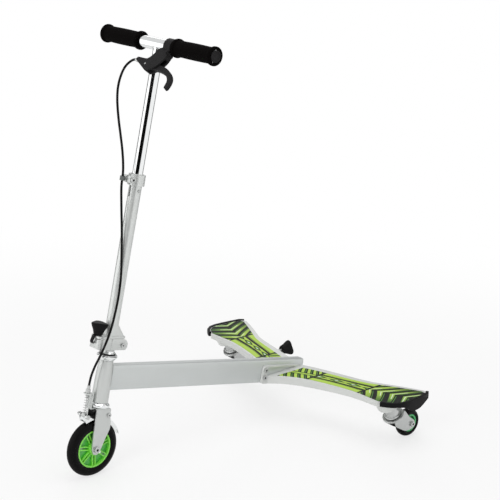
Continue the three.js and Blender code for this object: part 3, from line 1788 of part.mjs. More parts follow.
function casterAxleSolid() {
  const bolt = crossBolt(casterAxle, casterForkHalfWidth, caster.axleAft, caster.wheelRadius);
  return bolt.translate([casterAcross, 0, 0]);
}

// Rear knob, in the standing frame.

// The wing's rear edge where the knob's stud leaves it.
function rearEdgeAt(across) {
  const { rear } = wingEdges();
  const i = rear.findIndex((point) => point.x > across);
  const share = (across - rear[i - 1].x) / (rear[i].x - rear[i - 1].x);
  return lerp(rear[i - 1].y, rear[i].y, share);
}

function rearKnobStud() {
  const { across, height, studRadius, studLength } = rearKnob;
  const start = rearEdgeAt(-across) + studRadius / 2;
  return rod(studRadius, [across, start, height], [across, start + studLength, height], smallSides);
}

function rearKnobSolid() {
  const { across, height, studRadius, standOff, studLength } = rearKnob;
  const knob = lobedKnob(studRadius, studLength - standOff + gap);
  const facingAft = new THREE.Matrix4().makeRotationX(-quarterTurn);
  return placed(knob, facingAft).translate([across, rearEdgeAt(-across) + studRadius / 2 + standOff, height]);
}

// Assembly.
const { brushedAluminium, paleSteel, chrome, whitePaint } = materials;
const { deckPrint, blackPlastic, leverPlastic } = materials;
const { foam, tyre, frontHub: frontHubPaint } = materials;
const { casterHub: casterHubPaint, zincSteel, cableSheath } = materials;

addPiece("main_tube", mainTubeSolid(), brushedAluminium, steering);
addPiece("tube_end_cap", tubeEndCap(), brushedAluminium, steering);
addPiece("head_tube", headTubeSolid(0), paleSteel, steering);
addPiece("lower_headset_cup", lowerHeadsetCup(), chrome, steering);
addPiece("upper_headset_cup", upperHeadsetCup(), chrome, steering);
addPiece("headset_locknut", headsetLocknut(), chrome, steering);
addPiece("fork", forkSolid(), paleSteel, steering);
addPiece("front_axle_bolt", frontAxleBolt(), zincSteel, steering);
addPiece("front_axle_nut", frontAxleNut(), zincSteel, steering);
addPiece("hinge_block", hingeBlock(), paleSteel, steering);
addPiece("fold_pivot_bolt", foldPivotBolt(), zincSteel, steering);
addPiece("front_tyre", frontTyre().translate([0, 0, frontWheel.radius]), tyre, standing);
addPiece("front_hub", frontHub().translate([0, 0, frontWheel.radius]), frontHubPaint, standing);

addPiece("brake_arm", brakeArm(), chrome, steering);
addPiece("brake_pivot_bolt", brakePivotBolt(), zincSteel, steering);
addPiece("cable_anchor_bolt", cableAnchor(), zincSteel, steering);
addPiece("cable_stop_bracket", cableStopBracket(), paleSteel, steering);
addPiece("barrel_adjuster", barrelAdjuster(), zincSteel, steering);
addPiece("brake_wire", brakeWire(), zincSteel, steering);
addPiece("brake_return_spring", springSolid(), zincSteel, steering);

addPiece("column_tube", columnSolid(), paleSteel, steering);
addPiece("clamp_collar", clampCollar(), paleSteel, steering);
addPiece("clamp_bolt", clampBolt(), zincSteel, steering);
addPiece("quick_release_lever", quickLeverSolid(), paleSteel, steering);
addPiece("cable_guide", cableGuideSolid(), blackPlastic, steering);
addPiece("height_button", heightButtonSolid(), zincSteel, steering);
addPiece("fold_bolt", foldBolt(), zincSteel, steering);
addPiece("fold_knob", foldKnobSolid(), blackPlastic, steering);
addPiece("fold_catch", foldCatchSolid(), blackPlastic, steering);

addPiece("handlebar", handlebarSolid(), chrome, steering);
addPiece("left_grip", gripSolid(), foam, steering);
addPiece("right_grip", mirrored(gripSolid()), foam, steering);
addPiece("left_end_plug", endPlugSolid(), leverPlastic, steering);
addPiece("right_end_plug", mirrored(endPlugSolid()), leverPlastic, steering);
addPiece("lever_perch", leverPerch(), leverPlastic, steering);
addPiece("lever_pin", leverPin(), zincSteel, steering);
addPiece("brake_lever", brakeLever(), leverPlastic, steering);
addPiece("cable_ferrule", cableFerrule(), zincSteel, steering);
addPiece("upper_brake_cable", sheath(upperCableRoute), cableSheath, steering);
addPiece("lower_brake_cable", sheath(lowerCableRoute), cableSheath, steering);

const leftWing = wingSolid();
const studHole = rod(
  rearKnob.studRadius + gap,
  [rearKnob.across, wing.rearRoot - wing.wall, rearKnob.height],
  [rearKnob.across, wing.rearTip, rearKnob.height],
);
addPiece("left_wing", leftWing, whitePaint, standing);
addPiece("right_wing", cut(mirrored(leftWing), studHole), whitePaint, standing);
addPiece("upper_wing_bolt", wingBoltSolid(wingBolt.heights[0]), zincSteel, steering);
addPiece("lower_wing_bolt", wingBoltSolid(wingBolt.heights[1]), zincSteel, steering);
addPiece("rear_knob_stud", rearKnobStud(), zincSteel, standing);
addPiece("rear_knob", rearKnobSolid(), blackPlastic, standing);

const sidePieces = [
  ["deck_pad", deckPadSolid(0, wing.top - deckPad.depth, wing.top + deckPad.proud), deckPrint],
  ["tip_bumper", tipBumper(), blackPlastic],
  ["caster_race", casterRaceSolid(), chrome],
  ["caster_fork", casterForkSolid(), zincSteel],
  ["caster_axle", casterAxleSolid(), zincSteel],
  ["caster_tyre", casterTyre(), tyre],
  ["caster_hub", casterHub(), casterHubPaint],
];
for (const [name, solid, material] of sidePieces) {
  addPiece("left_" + name, solid, material, standing);
  addPiece("right_" + name, mirrored(solid), material, standing);
}

// The part's zero is on the ground under the middle of its outer box.
const scooter = new THREE.Group();
scooter.add(standing);
scooter.updateMatrixWorld(true);
const middle = new THREE.Box3().setFromObject(scooter, true).getCenter(new THREE.Vector3());
standing.position.set(-middle.x, -middle.y, 0);

export default scooter;
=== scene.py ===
# %% [markdown]
# # A three-wheeled caster scooter
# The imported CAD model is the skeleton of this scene: it says where every piece is and which body it
# moves with. The scene adds what CAD leaves out, which is round edges, foam, rubber, chrome and print.
# Everything is in metres. The scooter faces -Y and the rider's left hand is at +X.

# %% Load the frame
import json
import bmesh
import bpy
import numpy as np
from mathutils import Matrix, Vector

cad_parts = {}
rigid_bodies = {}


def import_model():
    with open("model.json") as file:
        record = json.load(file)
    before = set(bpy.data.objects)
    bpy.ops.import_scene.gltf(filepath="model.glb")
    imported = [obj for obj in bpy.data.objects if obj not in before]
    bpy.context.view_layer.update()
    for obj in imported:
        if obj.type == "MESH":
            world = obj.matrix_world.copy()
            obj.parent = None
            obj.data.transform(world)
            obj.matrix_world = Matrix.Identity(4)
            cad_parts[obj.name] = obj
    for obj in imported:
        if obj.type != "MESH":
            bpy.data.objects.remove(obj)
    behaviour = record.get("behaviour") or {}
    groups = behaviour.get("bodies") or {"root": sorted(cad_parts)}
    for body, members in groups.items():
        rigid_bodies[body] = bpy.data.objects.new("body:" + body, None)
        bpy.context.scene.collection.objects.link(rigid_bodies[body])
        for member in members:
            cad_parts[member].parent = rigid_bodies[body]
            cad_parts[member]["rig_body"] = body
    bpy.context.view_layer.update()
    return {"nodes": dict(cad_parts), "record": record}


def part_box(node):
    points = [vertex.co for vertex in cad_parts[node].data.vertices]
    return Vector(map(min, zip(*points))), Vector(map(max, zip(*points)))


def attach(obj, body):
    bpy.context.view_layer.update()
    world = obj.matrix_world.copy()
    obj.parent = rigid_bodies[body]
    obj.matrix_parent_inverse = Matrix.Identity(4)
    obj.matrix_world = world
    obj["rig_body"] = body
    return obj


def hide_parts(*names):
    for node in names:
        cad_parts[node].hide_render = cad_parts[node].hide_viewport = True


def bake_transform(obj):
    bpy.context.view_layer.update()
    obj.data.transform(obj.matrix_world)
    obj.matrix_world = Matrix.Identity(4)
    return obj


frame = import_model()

MM = 0.001

# %% [markdown]
# ## The steering frame
# The steering line leans back 11.3 degrees, so nearly everything on the front of the scooter is easiest
# to place in a frame that leans with it: x across, u square to the line and aft, w up along it, with the
# front axle at zero. The axle's place is read from the wheel hub's box, so that it is never typed twice.

# %% Steering frame
LEAN = np.radians(11.3)
ACROSS = np.array([1.0, 0.0, 0.0])
AFT = np.array([0.0, np.cos(LEAN), -np.sin(LEAN)])
ALONG = np.array([0.0, np.sin(LEAN), np.cos(LEAN)])


def middle(node):
    """The middle of a CAD node's box, which is the mean of its two corners."""
    low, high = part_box(node)
    return (np.array(low) + np.array(high)) / 2


def corners_of(node):
    """All corners of a CAD node, as rows of x, y and z."""
    data = frame["nodes"][node].data
    places = np.zeros(len(data.vertices) * 3)
    data.vertices.foreach_get("co", places)
    return places.reshape(-1, 3)


AXLE = middle("front_hub")


def steered(places):
    """Row-frame points of steering-frame places [x, u, w] in millimetres: the axle's place, plus x times
    the direction across, u times the one aft and w times the one along the steering line."""
    x, u, w = np.moveaxis(np.asarray(places, float) * MM, -1, 0)
    return AXLE + x[..., None] * ACROSS + u[..., None] * AFT + w[..., None] * ALONG


def steering_share(y, z, direction):
    """How far a point lies from the axle along the line or aft of it: a dot product with no share of x.
    Both y and z may be a material's sockets."""
    return (y - AXLE[1]) * direction[1] + (z - AXLE[2]) * direction[2]


print("front axle at", AXLE.round(4).tolist())

# %% [markdown]
# ## The camera
# The photograph was taken from the rider's front left, a little above the bars, with a long lens. The
# camera's place and its three directions come from a fit of the wheels, the tube and the bars to it.

# %% Camera
FOCAL_PIXELS = 1555.2
PICTURE_PIXELS = 500
FILM_WIDTH = 36
CAMERA_PLACE = Vector((2.44543, -2.15180, 1.40410))
LOOKING = Vector((-0.70446, 0.65075, -0.28329))
PICTURE_RIGHT = Vector((0.67153, 0.74034, 0.03074))
PICTURE_UP = Vector((-0.22974, 0.16859, 0.95854))

camera_data = bpy.data.cameras.new("camera")
camera_data.sensor_width = FILM_WIDTH
camera_data.lens = FOCAL_PIXELS * FILM_WIDTH / PICTURE_PIXELS
camera = bpy.data.objects.new("camera", camera_data)
turn = Matrix((PICTURE_RIGHT, PICTURE_UP, -LOOKING)).transposed()
camera.matrix_world = Matrix.Translation(CAMERA_PLACE) @ turn.to_4x4()
bpy.context.scene.collection.objects.link(camera)
bpy.context.scene.camera = camera
print("lens", round(camera_data.lens, 1), "mm")

# %% [markdown]
# ## Surfaces from grids
# Each new piece is a surface on a grid: its rows follow a profile or a path and its columns go round.
# numpy works out all the points at once, and one function turns a grid into a mesh, welds the rows that
# shrink to a point and turns the faces outwards.

# %% Grids to meshes
WELD_DISTANCE, SAME_PLACE = 1e-7, 1e-9
CORNER_STEPS = 5
SIDES, FINE_SIDES = 96, 128


def grid_mesh(name, points, closed_path=False):
    """A mesh of quads on points[row, column], where the columns close on themselves."""
    rows, columns = points.shape[:2]
    steps = rows if closed_path else rows - 1
    row, column = np.meshgrid(np.arange(steps), np.arange(columns), indexing="ij")
    next_row, next_column = (row + 1) % rows, (column + 1) % columns
    corners = [(row, column), (next_row, column), (next_row, next_column), (row, next_column)]
    quads = np.stack([r * columns + c for r, c in corners], axis=-1).reshape(-1, 4)
    mesh = bpy.data.meshes.new(name)
    mesh.from_pydata(points.reshape(-1, 3).tolist(), [], quads.tolist())
    return mesh


def welded(mesh):
    """The mesh with its doubles merged, its stray edges removed and its faces turned outwards."""
    work = bmesh.new()
    work.from_mesh(mesh)
    bmesh.ops.remove_doubles(work, verts=work.verts, dist=WELD_DISTANCE)
    stray = [edge for edge in work.edges if not edge.link_faces]
    bmesh.ops.delete(work, geom=stray, context="EDGES")
    bmesh.ops.recalc_face_normals(work, faces=work.faces)
    work.to_mesh(mesh)
    work.free()
    return mesh


def rounded(corners):
    """A closed outline [a, b, radius] with each corner replaced by a quadratic curve, which starts and
    ends one radius away from it, or half the side's length where that is less."""
    corners = np.array([(*corner, 0.0)[:3] for corner in corners], float)
    place, radius = corners[:, :2], corners[:, 2:]
    ends = []
    for shift in (1, -1):
        side = np.roll(place, shift, axis=0) - place
        length = np.linalg.norm(side, axis=1, keepdims=True)
        ends.append(place + side / length * np.minimum(radius, length / 2))
    t = np.linspace(0, 1, CORNER_STEPS)[None, :, None]
    start, end = (points[:, None] for points in ends)
    curve = (1 - t) ** 2 * start + 2 * t * (1 - t) * place[:, None] + t**2 * end
    flat = curve.reshape(-1, 2)
    moved = np.linalg.norm(flat - np.roll(flat, 1, axis=0), axis=1) > SAME_PLACE
    return flat[moved]


def square_to(axis):
    """Two unit directions square to an axis and to each other. They are cross products, first with the
    coordinate axis that is least aligned with it."""
    axis = np.asarray(axis, float)
    helper = np.eye(3)[np.abs(axis).argmin()]
    side = np.cross(axis, helper)
    side /= np.linalg.norm(side)
    return side, np.cross(axis, side)


def revolved(profile, centre, axis, sides=SIDES, wave=None):
    """Points (radius, height) in millimetres turned round an axis: the centre, plus the height times the
    axis, plus the radius times (cos t side + sin t third). A wave of (t, radius) in millimetres may be
    added to the radius."""
    radius, height = (np.asarray(profile, float)[:, i, None] for i in (0, 1))
    t = np.linspace(0, 2 * np.pi, sides, endpoint=False)[None, :]
    if wave is not None:
        radius = radius + wave(t, radius)
    side, third = square_to(axis)
    ring = np.cos(t)[..., None] * side + np.sin(t)[..., None] * third
    spread = np.broadcast_to(radius, np.broadcast_shapes(radius.shape, t.shape))
    return np.asarray(centre) + MM * (spread[..., None] * ring + height[..., None] * np.asarray(axis))


def smooth_path(places, steps):
    """A smooth curve through the places: each span blends lines through its four neighbours three times
    over, with knots that are spaced by the square root of the distance between them."""
    p = np.asarray(places, float)
    p = np.vstack([2 * p[0] - p[1], p, 2 * p[-1] - p[-2]])
    gap = np.sqrt(np.linalg.norm(np.diff(p, axis=0), axis=1))
    knot = np.concatenate([[0], np.cumsum(gap)])
    k0, k1, k2, k3 = (knot[i : len(knot) - 3 + i, None, None] for i in range(4))
    q0, q1, q2, q3 = (p[i : len(p) - 3 + i, None] for i in range(4))
    t = k1 + (k2 - k1) * np.linspace(0, 1, steps, endpoint=False)[None, :, None]
    a1 = (k1 - t) / (k1 - k0) * q0 + (t - k0) / (k1 - k0) * q1
    a2 = (k2 - t) / (k2 - k1) * q1 + (t - k1) / (k2 - k1) * q2
    a3 = (k3 - t) / (k3 - k2) * q2 + (t - k2) / (k3 - k2) * q3
    b1 = (k2 - t) / (k2 - k0) * a1 + (t - k0) / (k2 - k0) * a2
    b2 = (k3 - t) / (k3 - k1) * a2 + (t - k1) / (k3 - k1) * a3
    curve = (k2 - t) / (k2 - k1) * b1 + (t - k1) / (k2 - k1) * b2
    return np.vstack([curve.reshape(-1, p.shape[1]), p[-2]])


def carried(path, section, reference, closed_path=False):
    """A section carried along a path: each ring is the path's point plus a times the normal and b times
    the binormal, for the section's (a, b) there. The normal is the reference direction with its share
    along the tangent taken out. An open path's ends are closed by rings of no size."""
    if closed_path:
        tangent = np.roll(path, -1, axis=0) - np.roll(path, 1, axis=0)
    else:
        tangent = np.gradient(path, axis=0)
    tangent /= np.linalg.norm(tangent, axis=1, keepdims=True)
    reference = np.broadcast_to(reference, path.shape)
    normal = reference - (reference * tangent).sum(1, keepdims=True) * tangent
    normal /= np.linalg.norm(normal, axis=1, keepdims=True)
    binormal = np.cross(tangent, normal)
    section = np.broadcast_to(section, (len(path), *np.shape(section)[-2:]))
    rings = path[:, None] + section[..., :1] * normal[:, None] + section[..., 1:] * binormal[:, None]
    if closed_path:
        return rings
    caps = [np.broadcast_to(path[end], rings[:1].shape) for end in (0, -1)]
    return np.concatenate([caps[0], rings, caps[1]])


def circle(radius, sides):
    """A circle of points (radius cos t, radius sin t)."""
    t = np.linspace(0, 2 * np.pi, sides, endpoint=False)
    return radius * np.stack([np.cos(t), np.sin(t)], axis=-1)


def round_tube(name, path, radius, sides, reference, closed_path=False):
    """A circle carried along a path, as a closed mesh."""
    rings = carried(path, circle(radius, sides), reference, closed_path)
    return welded(grid_mesh(name, rings, closed_path))


print("grid tools ready, with", CORNER_STEPS, "points to a rounded corner")

# %% [markdown]
# ## Shader maths
# A wrapped socket lets a pattern be written as plain arithmetic. Every operator adds one Math node, so
# that `1 - mask` in the text is exactly what the material does, and `&` multiplies two masks, so that
# both have to be 1. Colours are mixed by Mix nodes, because a Math node would turn them grey.

# %% Sockets with operators
def operator(operation, reflected=False):
    """A method that adds one Math node on a wire and another value, which comes first if reflected."""

    def method(self, other):
        values = (other, self) if reflected else (self, other)
        return self.nodes.node("ShaderNodeMath", {"operation": operation}, *values)

    return method


class Wire:
    """A socket in a tree of nodes. Python's operators on it add Math nodes."""

    __add__ = __radd__ = operator("ADD")
    __mul__ = __rmul__ = operator("MULTIPLY")
    __sub__, __rsub__ = operator("SUBTRACT"), operator("SUBTRACT", reflected=True)
    __truediv__, __rtruediv__ = operator("DIVIDE"), operator("DIVIDE", reflected=True)
    __pow__ = operator("POWER")
    __mod__ = operator("FLOORED_MODULO")
    __and__ = operator("MULTIPLY")

    def __init__(self, nodes, socket):
        self.nodes = nodes
        self.socket = socket

    def math(self, operation, *others):
        """One Math node on this socket and the others."""
        return self.nodes.node("ShaderNodeMath", {"operation": operation}, self, *others)

    def __abs__(self):
        return self.math("ABSOLUTE")

    def step(self, edge, width):
        """0 below the edge and 1 above it, smoothed over the width."""
        settings = {"interpolation_type": "SMOOTHSTEP"}
        return self.nodes.node("ShaderNodeMapRange", settings, self, edge - width / 2, edge + width / 2)

    def span(self, low, high, width):
        """1 from low to high and 0 outside, with edges smoothed over the width."""
        return self.step(low, width) - self.step(high, width)


def colour(text):
    """A linear colour with alpha from six hexadecimal digits of sRGB."""
    srgb = np.array([int(text[i : i + 2], 16) for i in (0, 2, 4)]) / 255
    linear = np.where(srgb <= 0.04045, srgb / 12.92, ((srgb + 0.055) / 1.055) ** 2.4)
    return (*linear.tolist(), 1.0)


class NodeTree:
    """The nodes of one material or of the world. Any node that is needed comes from one method."""

    def __init__(self, tree):
        self.tree = tree

    def node(self, kind, settings=None, *values, places=None, output=0, **named):
        """Adds a node, fills its sockets in order, by place or by name, and gives one output."""
        made = self.tree.nodes.new(kind)
        for name, value in (settings or {}).items():
            setattr(made, name, value)
        for place, value in [*enumerate(values), *(places or {}).items(), *named.items()]:
            self.fill(made.inputs[place], value)
        return Wire(self, made.outputs[output])

    def fill(self, socket, value):
        """Links a wire to a socket, or sets the socket to a plain value or a colour's digits."""
        if isinstance(value, Wire):
            self.tree.links.new(value.socket, socket)
        else:
            socket.default_value = colour(value) if isinstance(value, str) else value

    def split(self, vector):
        """The three numbers of a vector."""
        first = self.node("ShaderNodeSeparateXYZ", None, vector)
        return [Wire(self, socket) for socket in first.socket.node.outputs]


class Finish(NodeTree):
    """One material: a Principled shader whose constants are set here and to which patterns are wired."""

    def __init__(self, name, **constants):
        self.material = bpy.data.materials.new(name)
        self.material.use_nodes = True
        super().__init__(self.material.node_tree)
        self.shader = self.tree.nodes["Principled BSDF"]
        self.wire(**constants)

    def wire(self, **patterns):
        """Joins patterns to the shader's sockets, or sets plain values there."""
        for socket, value in patterns.items():
            self.fill(self.shader.inputs[socket.replace("_", " ")], value)

    def coordinates(self, rotation=(0, 0, 0), scale=(1, 1, 1), location=(0, 0, 0)):
        """The piece's Object coordinates in metres, turned and stretched by a Mapping node."""
        place = self.node("ShaderNodeTexCoord", output="Object")
        return self.node("ShaderNodeMapping", None, place, location, rotation, scale)

    def noise(self, place, scale, detail, roughness=0.5):
        """Noise from 0 to 1 whose patches are about 1 / scale of a metre wide."""
        kind = "ShaderNodeTexNoise"
        return self.node(kind, Vector=place, Scale=scale, Detail=detail, Roughness=roughness)

    def mix(self, factor, first, second):
        """The first colour where the factor is 0 and the second where it is 1."""
        colours = {6: first, 7: second}
        return self.node("ShaderNodeMix", {"data_type": "RGBA"}, factor, places=colours, output=2)

    def bump(self, height, distance, strength):
        """Raises the surface by the height's value times the distance in metres."""
        normal = self.node("ShaderNodeBump", Strength=strength, Distance=distance, Height=height)
        self.wire(Normal=normal)


print("shader tools ready")

# %% [markdown]
# ## Metals
# The scooter shows four metals. The main tube is a satin extrusion whose fine lines run along it. The
# fork, head tube, hinge and column carry a pale silver paint with a fine sparkle. The bars and headset
# are chrome, which is nearly a mirror, so its detail is only a little haze. The small parts and the
# casters' races are zinc plated. Shade is painted into these finishes at places found by where they lie:
# the inside of the yoke over the wheel, the slit at the column's top, the locknut's groove, the paint
# below the hinge, and the bolts' sockets, which hold old grease too.

# %% Metal finishes
# Places are in millimetres in the steering frame, and the softness of edges is in metres
YOKE_INSIDE, YOKE_CEILING = 13.7, 87.4
SLIT_HALF, SLIT_BOTTOM, SLIT_FRONT, SLIT_BACK = 1.6, 541.8, -14.2, -10.8
GROOVE_LOW, GROOVE_TOP = 204.8, 208.6
SHADED_BELOW = 235
SOFT_EDGE, FINE_EDGE, WIDE_EDGE = 0.0004, 0.0002, 0.02


def tube_aluminium():
    """Drawing lines along the tube: noise stretched forty times along the tube's own direction."""
    finish = Finish("tube_aluminium", Metallic=0.62)
    place = finish.coordinates(rotation=(LEAN, 0, 0), scale=(1, 0.025, 1))
    lines = finish.noise(place, scale=900, detail=4)
    clouds = finish.noise(finish.coordinates(), scale=14, detail=2)
    finish.wire(
        Base_Color=finish.mix(lines * 0.35 + clouds * 0.4, "c9cdcc", "dcdfde"),
        Roughness=0.3 + lines * 0.12 + clouds * 0.06,
    )
    finish.bump(lines, distance=0.00002, strength=0.5)
    return finish


def grey_paint():
    """Silver paint: a sparkle of fine noise under a thin clear coat, with slow clouds in its gloss, and
    painted shade that makes it greyer below the hinge. Painted shade blackens the yoke between its cheeks
    and under its crown, and the slit at the column's top, between its sides, above its foot and within the
    wall in front."""
    finish = Finish("grey_paint", Coat_Roughness=0.12)
    place = finish.coordinates()
    flakes = finish.noise(place, scale=5200, detail=2)
    clouds = finish.noise(place, scale=30, detail=3)
    x, y, z = finish.split(place)
    height, aft = steering_share(y, z, ALONG), steering_share(y, z, AFT)
    # Painted shade: the yoke's inside, between the cheeks and under the crown, is painted near black
    between_cheeks = 1 - abs(x).step(YOKE_INSIDE * MM, SOFT_EDGE)
    mouth_shade = between_cheeks & (1 - height.step(YOKE_CEILING * MM, SOFT_EDGE))
    # Painted shade: the slit at the column's top is painted near black, through the wall's thickness
    slit = (1 - abs(x).step(SLIT_HALF * MM, FINE_EDGE)) & height.step(SLIT_BOTTOM * MM, FINE_EDGE)
    slit = slit & aft.span(SLIT_FRONT * MM, SLIT_BACK * MM, FINE_EDGE)
    # dark holds all the painted shade here: the yoke's inside and the slit
    dark = mouth_shade + slit * 0.85
    paint = finish.mix(flakes, "cdd0ce", "e3e5e3")
    # Painted shade: the same paint is mixed greyer below the hinge
    low_down_shade = 1 - height.step(SHADED_BELOW * MM, WIDE_EDGE)
    paint = finish.mix(low_down_shade * 0.4, paint, "b9bcba")
    finish.wire(
        Base_Color=finish.mix(dark * 0.97, paint, "080808"),
        Roughness=0.27 + clouds * 0.1,
        Metallic=0.55 - dark * 0.5,
        Coat_Weight=(0.25 + clouds * 0.2) & (1 - dark),
    )
    finish.bump(flakes, distance=0.00001, strength=0.4)
    return finish


def chrome():
    """Plating: a mirror with a slight haze that comes and goes in patches and in fine wiping marks. The
    locknut's groove, between two heights along the steering line, is painted black as shade."""
    finish = Finish("chrome")
    place = finish.coordinates()
    _, y, z = finish.split(place)
    # Painted shade: the locknut's groove is painted black, dull and not metal
    groove_shade = steering_share(y, z, ALONG).span(GROOVE_LOW * MM, GROOVE_TOP * MM, FINE_EDGE)
    haze = finish.noise(place, scale=38, detail=3)
    wiping = finish.noise(finish.coordinates(scale=(1, 1, 0.04)), scale=1400, detail=2)
    plating = finish.mix(haze, "eff1f1", "fafbfb")
    finish.wire(
        Base_Color=finish.mix(groove_shade, plating, "060606"),
        Roughness=0.035 + haze * 0.03 + wiping * 0.012 + groove_shade * 0.4,
        Metallic=1 - groove_shade,
    )
    return finish


def zinc_steel():
    """Bright zinc: soft mottling of the plating's crystals, with a pale blue and a warmer grey. Bolts'
    sockets are painted near black, as painted shade and old grease: their faces have the attribute
    "socket"."""
    finish = Finish("zinc_steel")
    place = finish.coordinates()
    crystals = finish.noise(place, scale=420, detail=3)
    clouds = finish.noise(place, scale=60, detail=2)
    # Painted shade and grease: faces marked "socket" are painted near black
    grease_and_shade = finish.node("ShaderNodeAttribute", {"attribute_name": "socket"}, output="Fac")
    plating = finish.mix(crystals, "b4b8ba", "d6d6d2")
    finish.wire(
        Base_Color=finish.mix(grease_and_shade * 0.95, plating, "0c0b0a"),
        Roughness=0.22 + crystals * 0.12 + clouds * 0.08 + grease_and_shade * 0.3,
        Metallic=0.95 - grease_and_shade * 0.8,
    )
    finish.bump(crystals, distance=0.00002, strength=0.4)
    return finish


def white_casting():
    """Gloss white powder coat: a shallow orange peel and a trace of grey in slow clouds."""
    finish = Finish("white_casting", Coat_Roughness=0.08)
    place = finish.coordinates()
    peel = finish.noise(place, scale=620, detail=2)
    clouds = finish.noise(place, scale=18, detail=3)
    finish.wire(
        Base_Color=finish.mix(clouds, "d0d2cf", "dee0dd"),
        Roughness=0.3 + clouds * 0.1,
        Coat_Weight=0.35 + clouds * 0.2,
    )
    finish.bump(peel, distance=0.00003, strength=0.5)
    return finish


METALS = (tube_aluminium, grey_paint, chrome, zinc_steel, white_casting)
finishes = {make.__name__: make() for make in METALS}
print("metals", sorted(finishes))

# %% [markdown]
# ## Plastics, foam and rubber
# The two kinds of green wheel are gloss plastic, the front one lime, and both darker as painted shade in
# the web between their ribs.
# The knobs, bumpers, lever and cable guide are satin mouldings with a fine spark-eroded grain. The grips
# are closed-cell foam, dull and finely pitted, and the tyres are polished urethane with a scuffed tread.

# %% Plastic and rubber finishes
def moulded(name, dark, light, roughness, grain=1900):
    """A satin moulding: even grain from two sizes of noise, a little duller where the grain is deep."""
    finish = Finish(name, Specular_IOR_Level=0.13)
    place = finish.coordinates()
    fine = finish.noise(place, scale=grain, detail=2)
    coarse = finish.noise(place, scale=grain / 14, detail=3)
    finish.wire(
        Base_Color=finish.mix(fine * 0.6 + coarse * 0.4, dark, light),
        Roughness=roughness + fine * 0.12 + coarse * 0.08,
    )
    finish.bump(fine, distance=0.00004, strength=0.6)
    return finish


def grip_foam():
    """Foam: the distance to the nearest of scattered points pits the surface, and each cell is a little
    paler at its middle."""
    finish = Finish("grip_foam", Specular_IOR_Level=0.05)
    place = finish.coordinates()
    cells = finish.node("ShaderNodeTexVoronoi", {"feature": "F1"}, Vector=place, Scale=2300.0)
    soft = finish.noise(place, scale=160, detail=3)
    finish.wire(
        Base_Color=finish.mix(cells * 0.7 + soft * 0.3, "0d0a09", "040303"),
        Roughness=0.86 + soft * 0.12,
    )
    finish.bump(cells, distance=-0.00012, strength=0.7)
    return finish


def tyre_rubber(name, centre_node, outer, tread):
    """Urethane: glossy sidewalls with faint turning rings, and a duller, scuffed band on the tread.
    The distance from the axle is the root of y squared plus z squared about the wheel's middle."""
    finish = Finish(name, Specular_IOR_Level=0.11)
    centre = middle(centre_node)
    place = finish.coordinates(location=(0, -centre[1], -centre[2]))
    _, y, z = finish.split(place)
    distance = (y * y + z * z) ** 0.5
    outwards = finish.node("ShaderNodeCombineXYZ", None, distance, 0.0, 0.0)
    rings = finish.noise(outwards, scale=2600, detail=2)
    scuffs = finish.noise(place, scale=260, detail=4, roughness=0.65)
    worn = distance.step(tread, outer - tread)
    finish.wire(
        Base_Color=finish.mix(worn * scuffs, "020202", "0d0c0b"),
        Roughness=0.2 + rings * 0.06 + worn * scuffs * 0.5,
    )
    finish.bump(rings * 0.4 + worn * scuffs, distance=0.00004, strength=0.6)
    return finish


def wheel_green(name, bright, deep, hub, web_half_width):
    """A gloss hub: bright where ribs and rim stand out, and painted deep green as shade in the thin web
    between them, which lies within half its width in millimetres of the wheel's middle plane."""
    finish = Finish(name, Coat_Roughness=0.06)
    middle_plane = abs(middle(hub)[0])
    flow = finish.coordinates()
    x, _, _ = finish.split(flow)
    # Painted shade: the web between the ribs is painted deeper green
    sunk_shade = 1 - abs(abs(x) - middle_plane).step(web_half_width * MM, 1 * MM)
    swirl = finish.noise(flow, scale=90, detail=3)
    lively = finish.mix(swirl, bright, deep)
    raised = finish.mix(swirl * 0.3, bright, lively)
    finish.wire(
        Base_Color=finish.mix(sunk_shade * 0.75, raised, deep),
        Roughness=0.2 + swirl * 0.1,
        Coat_Weight=0.4 + swirl * 0.2,
    )
    finish.bump(swirl, distance=0.00004, strength=0.3)
    return finish


finishes["black_plastic"] = moulded("black_plastic", "070708", "101011", 0.34)
finishes["lever_plastic"] = moulded("lever_plastic", "171617", "232223", 0.42)
finishes["guide_plastic"] = moulded("guide_plastic", "5f6261", "6f7270", 0.42)
finishes["cable_sheath"] = moulded("cable_sheath", "050505", "0c0c0c", 0.3, grain=900)
finishes["grip_foam"] = grip_foam()
finishes["front_tyre"] = tyre_rubber("front_tyre_rubber", "front_tyre", outer=0.0625, tread=0.057)
finishes["caster_tyre"] = tyre_rubber(
    "caster_tyre_rubber", "left_caster_tyre", outer=0.0325, tread=0.030
)
finishes["front_wheel_green"] = wheel_green(
    "front_wheel_green", "86e64a", "2fae45", hub="front_hub", web_half_width=3.4
)
finishes["caster_wheel_green"] = wheel_green(
    "caster_wheel_green", "3cc26a", "148445", hub="left_caster_hub", web_half_width=4.6
)
print("finishes", sorted(finishes))

# %% [markdown]
# ## The deck print
# Each foot pad has a printed pattern. This one is of plain geometric motifs: chevrons that crowd towards
# the tip, a chain of long lozenges in the middle and a slanted hatch at the root, in lime, deep green and
# black. The pattern follows the wing's sweep, so it is drawn in two numbers: how far a point is along the
# wing, and how far across it between the pad's front and rear edges. Those edges are cubics that are
# fitted to the CAD pad's own outline.

# %% Deck print
PAD_INNER, PAD_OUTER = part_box("left_deck_pad")[0].x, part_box("left_deck_pad")[1].x
PAD_LENGTH = PAD_OUTER - PAD_INNER
SPLIT_AT_ROOT, SPLIT_RISE, TIP_SHARE = 0.3, 0.42, 0.93


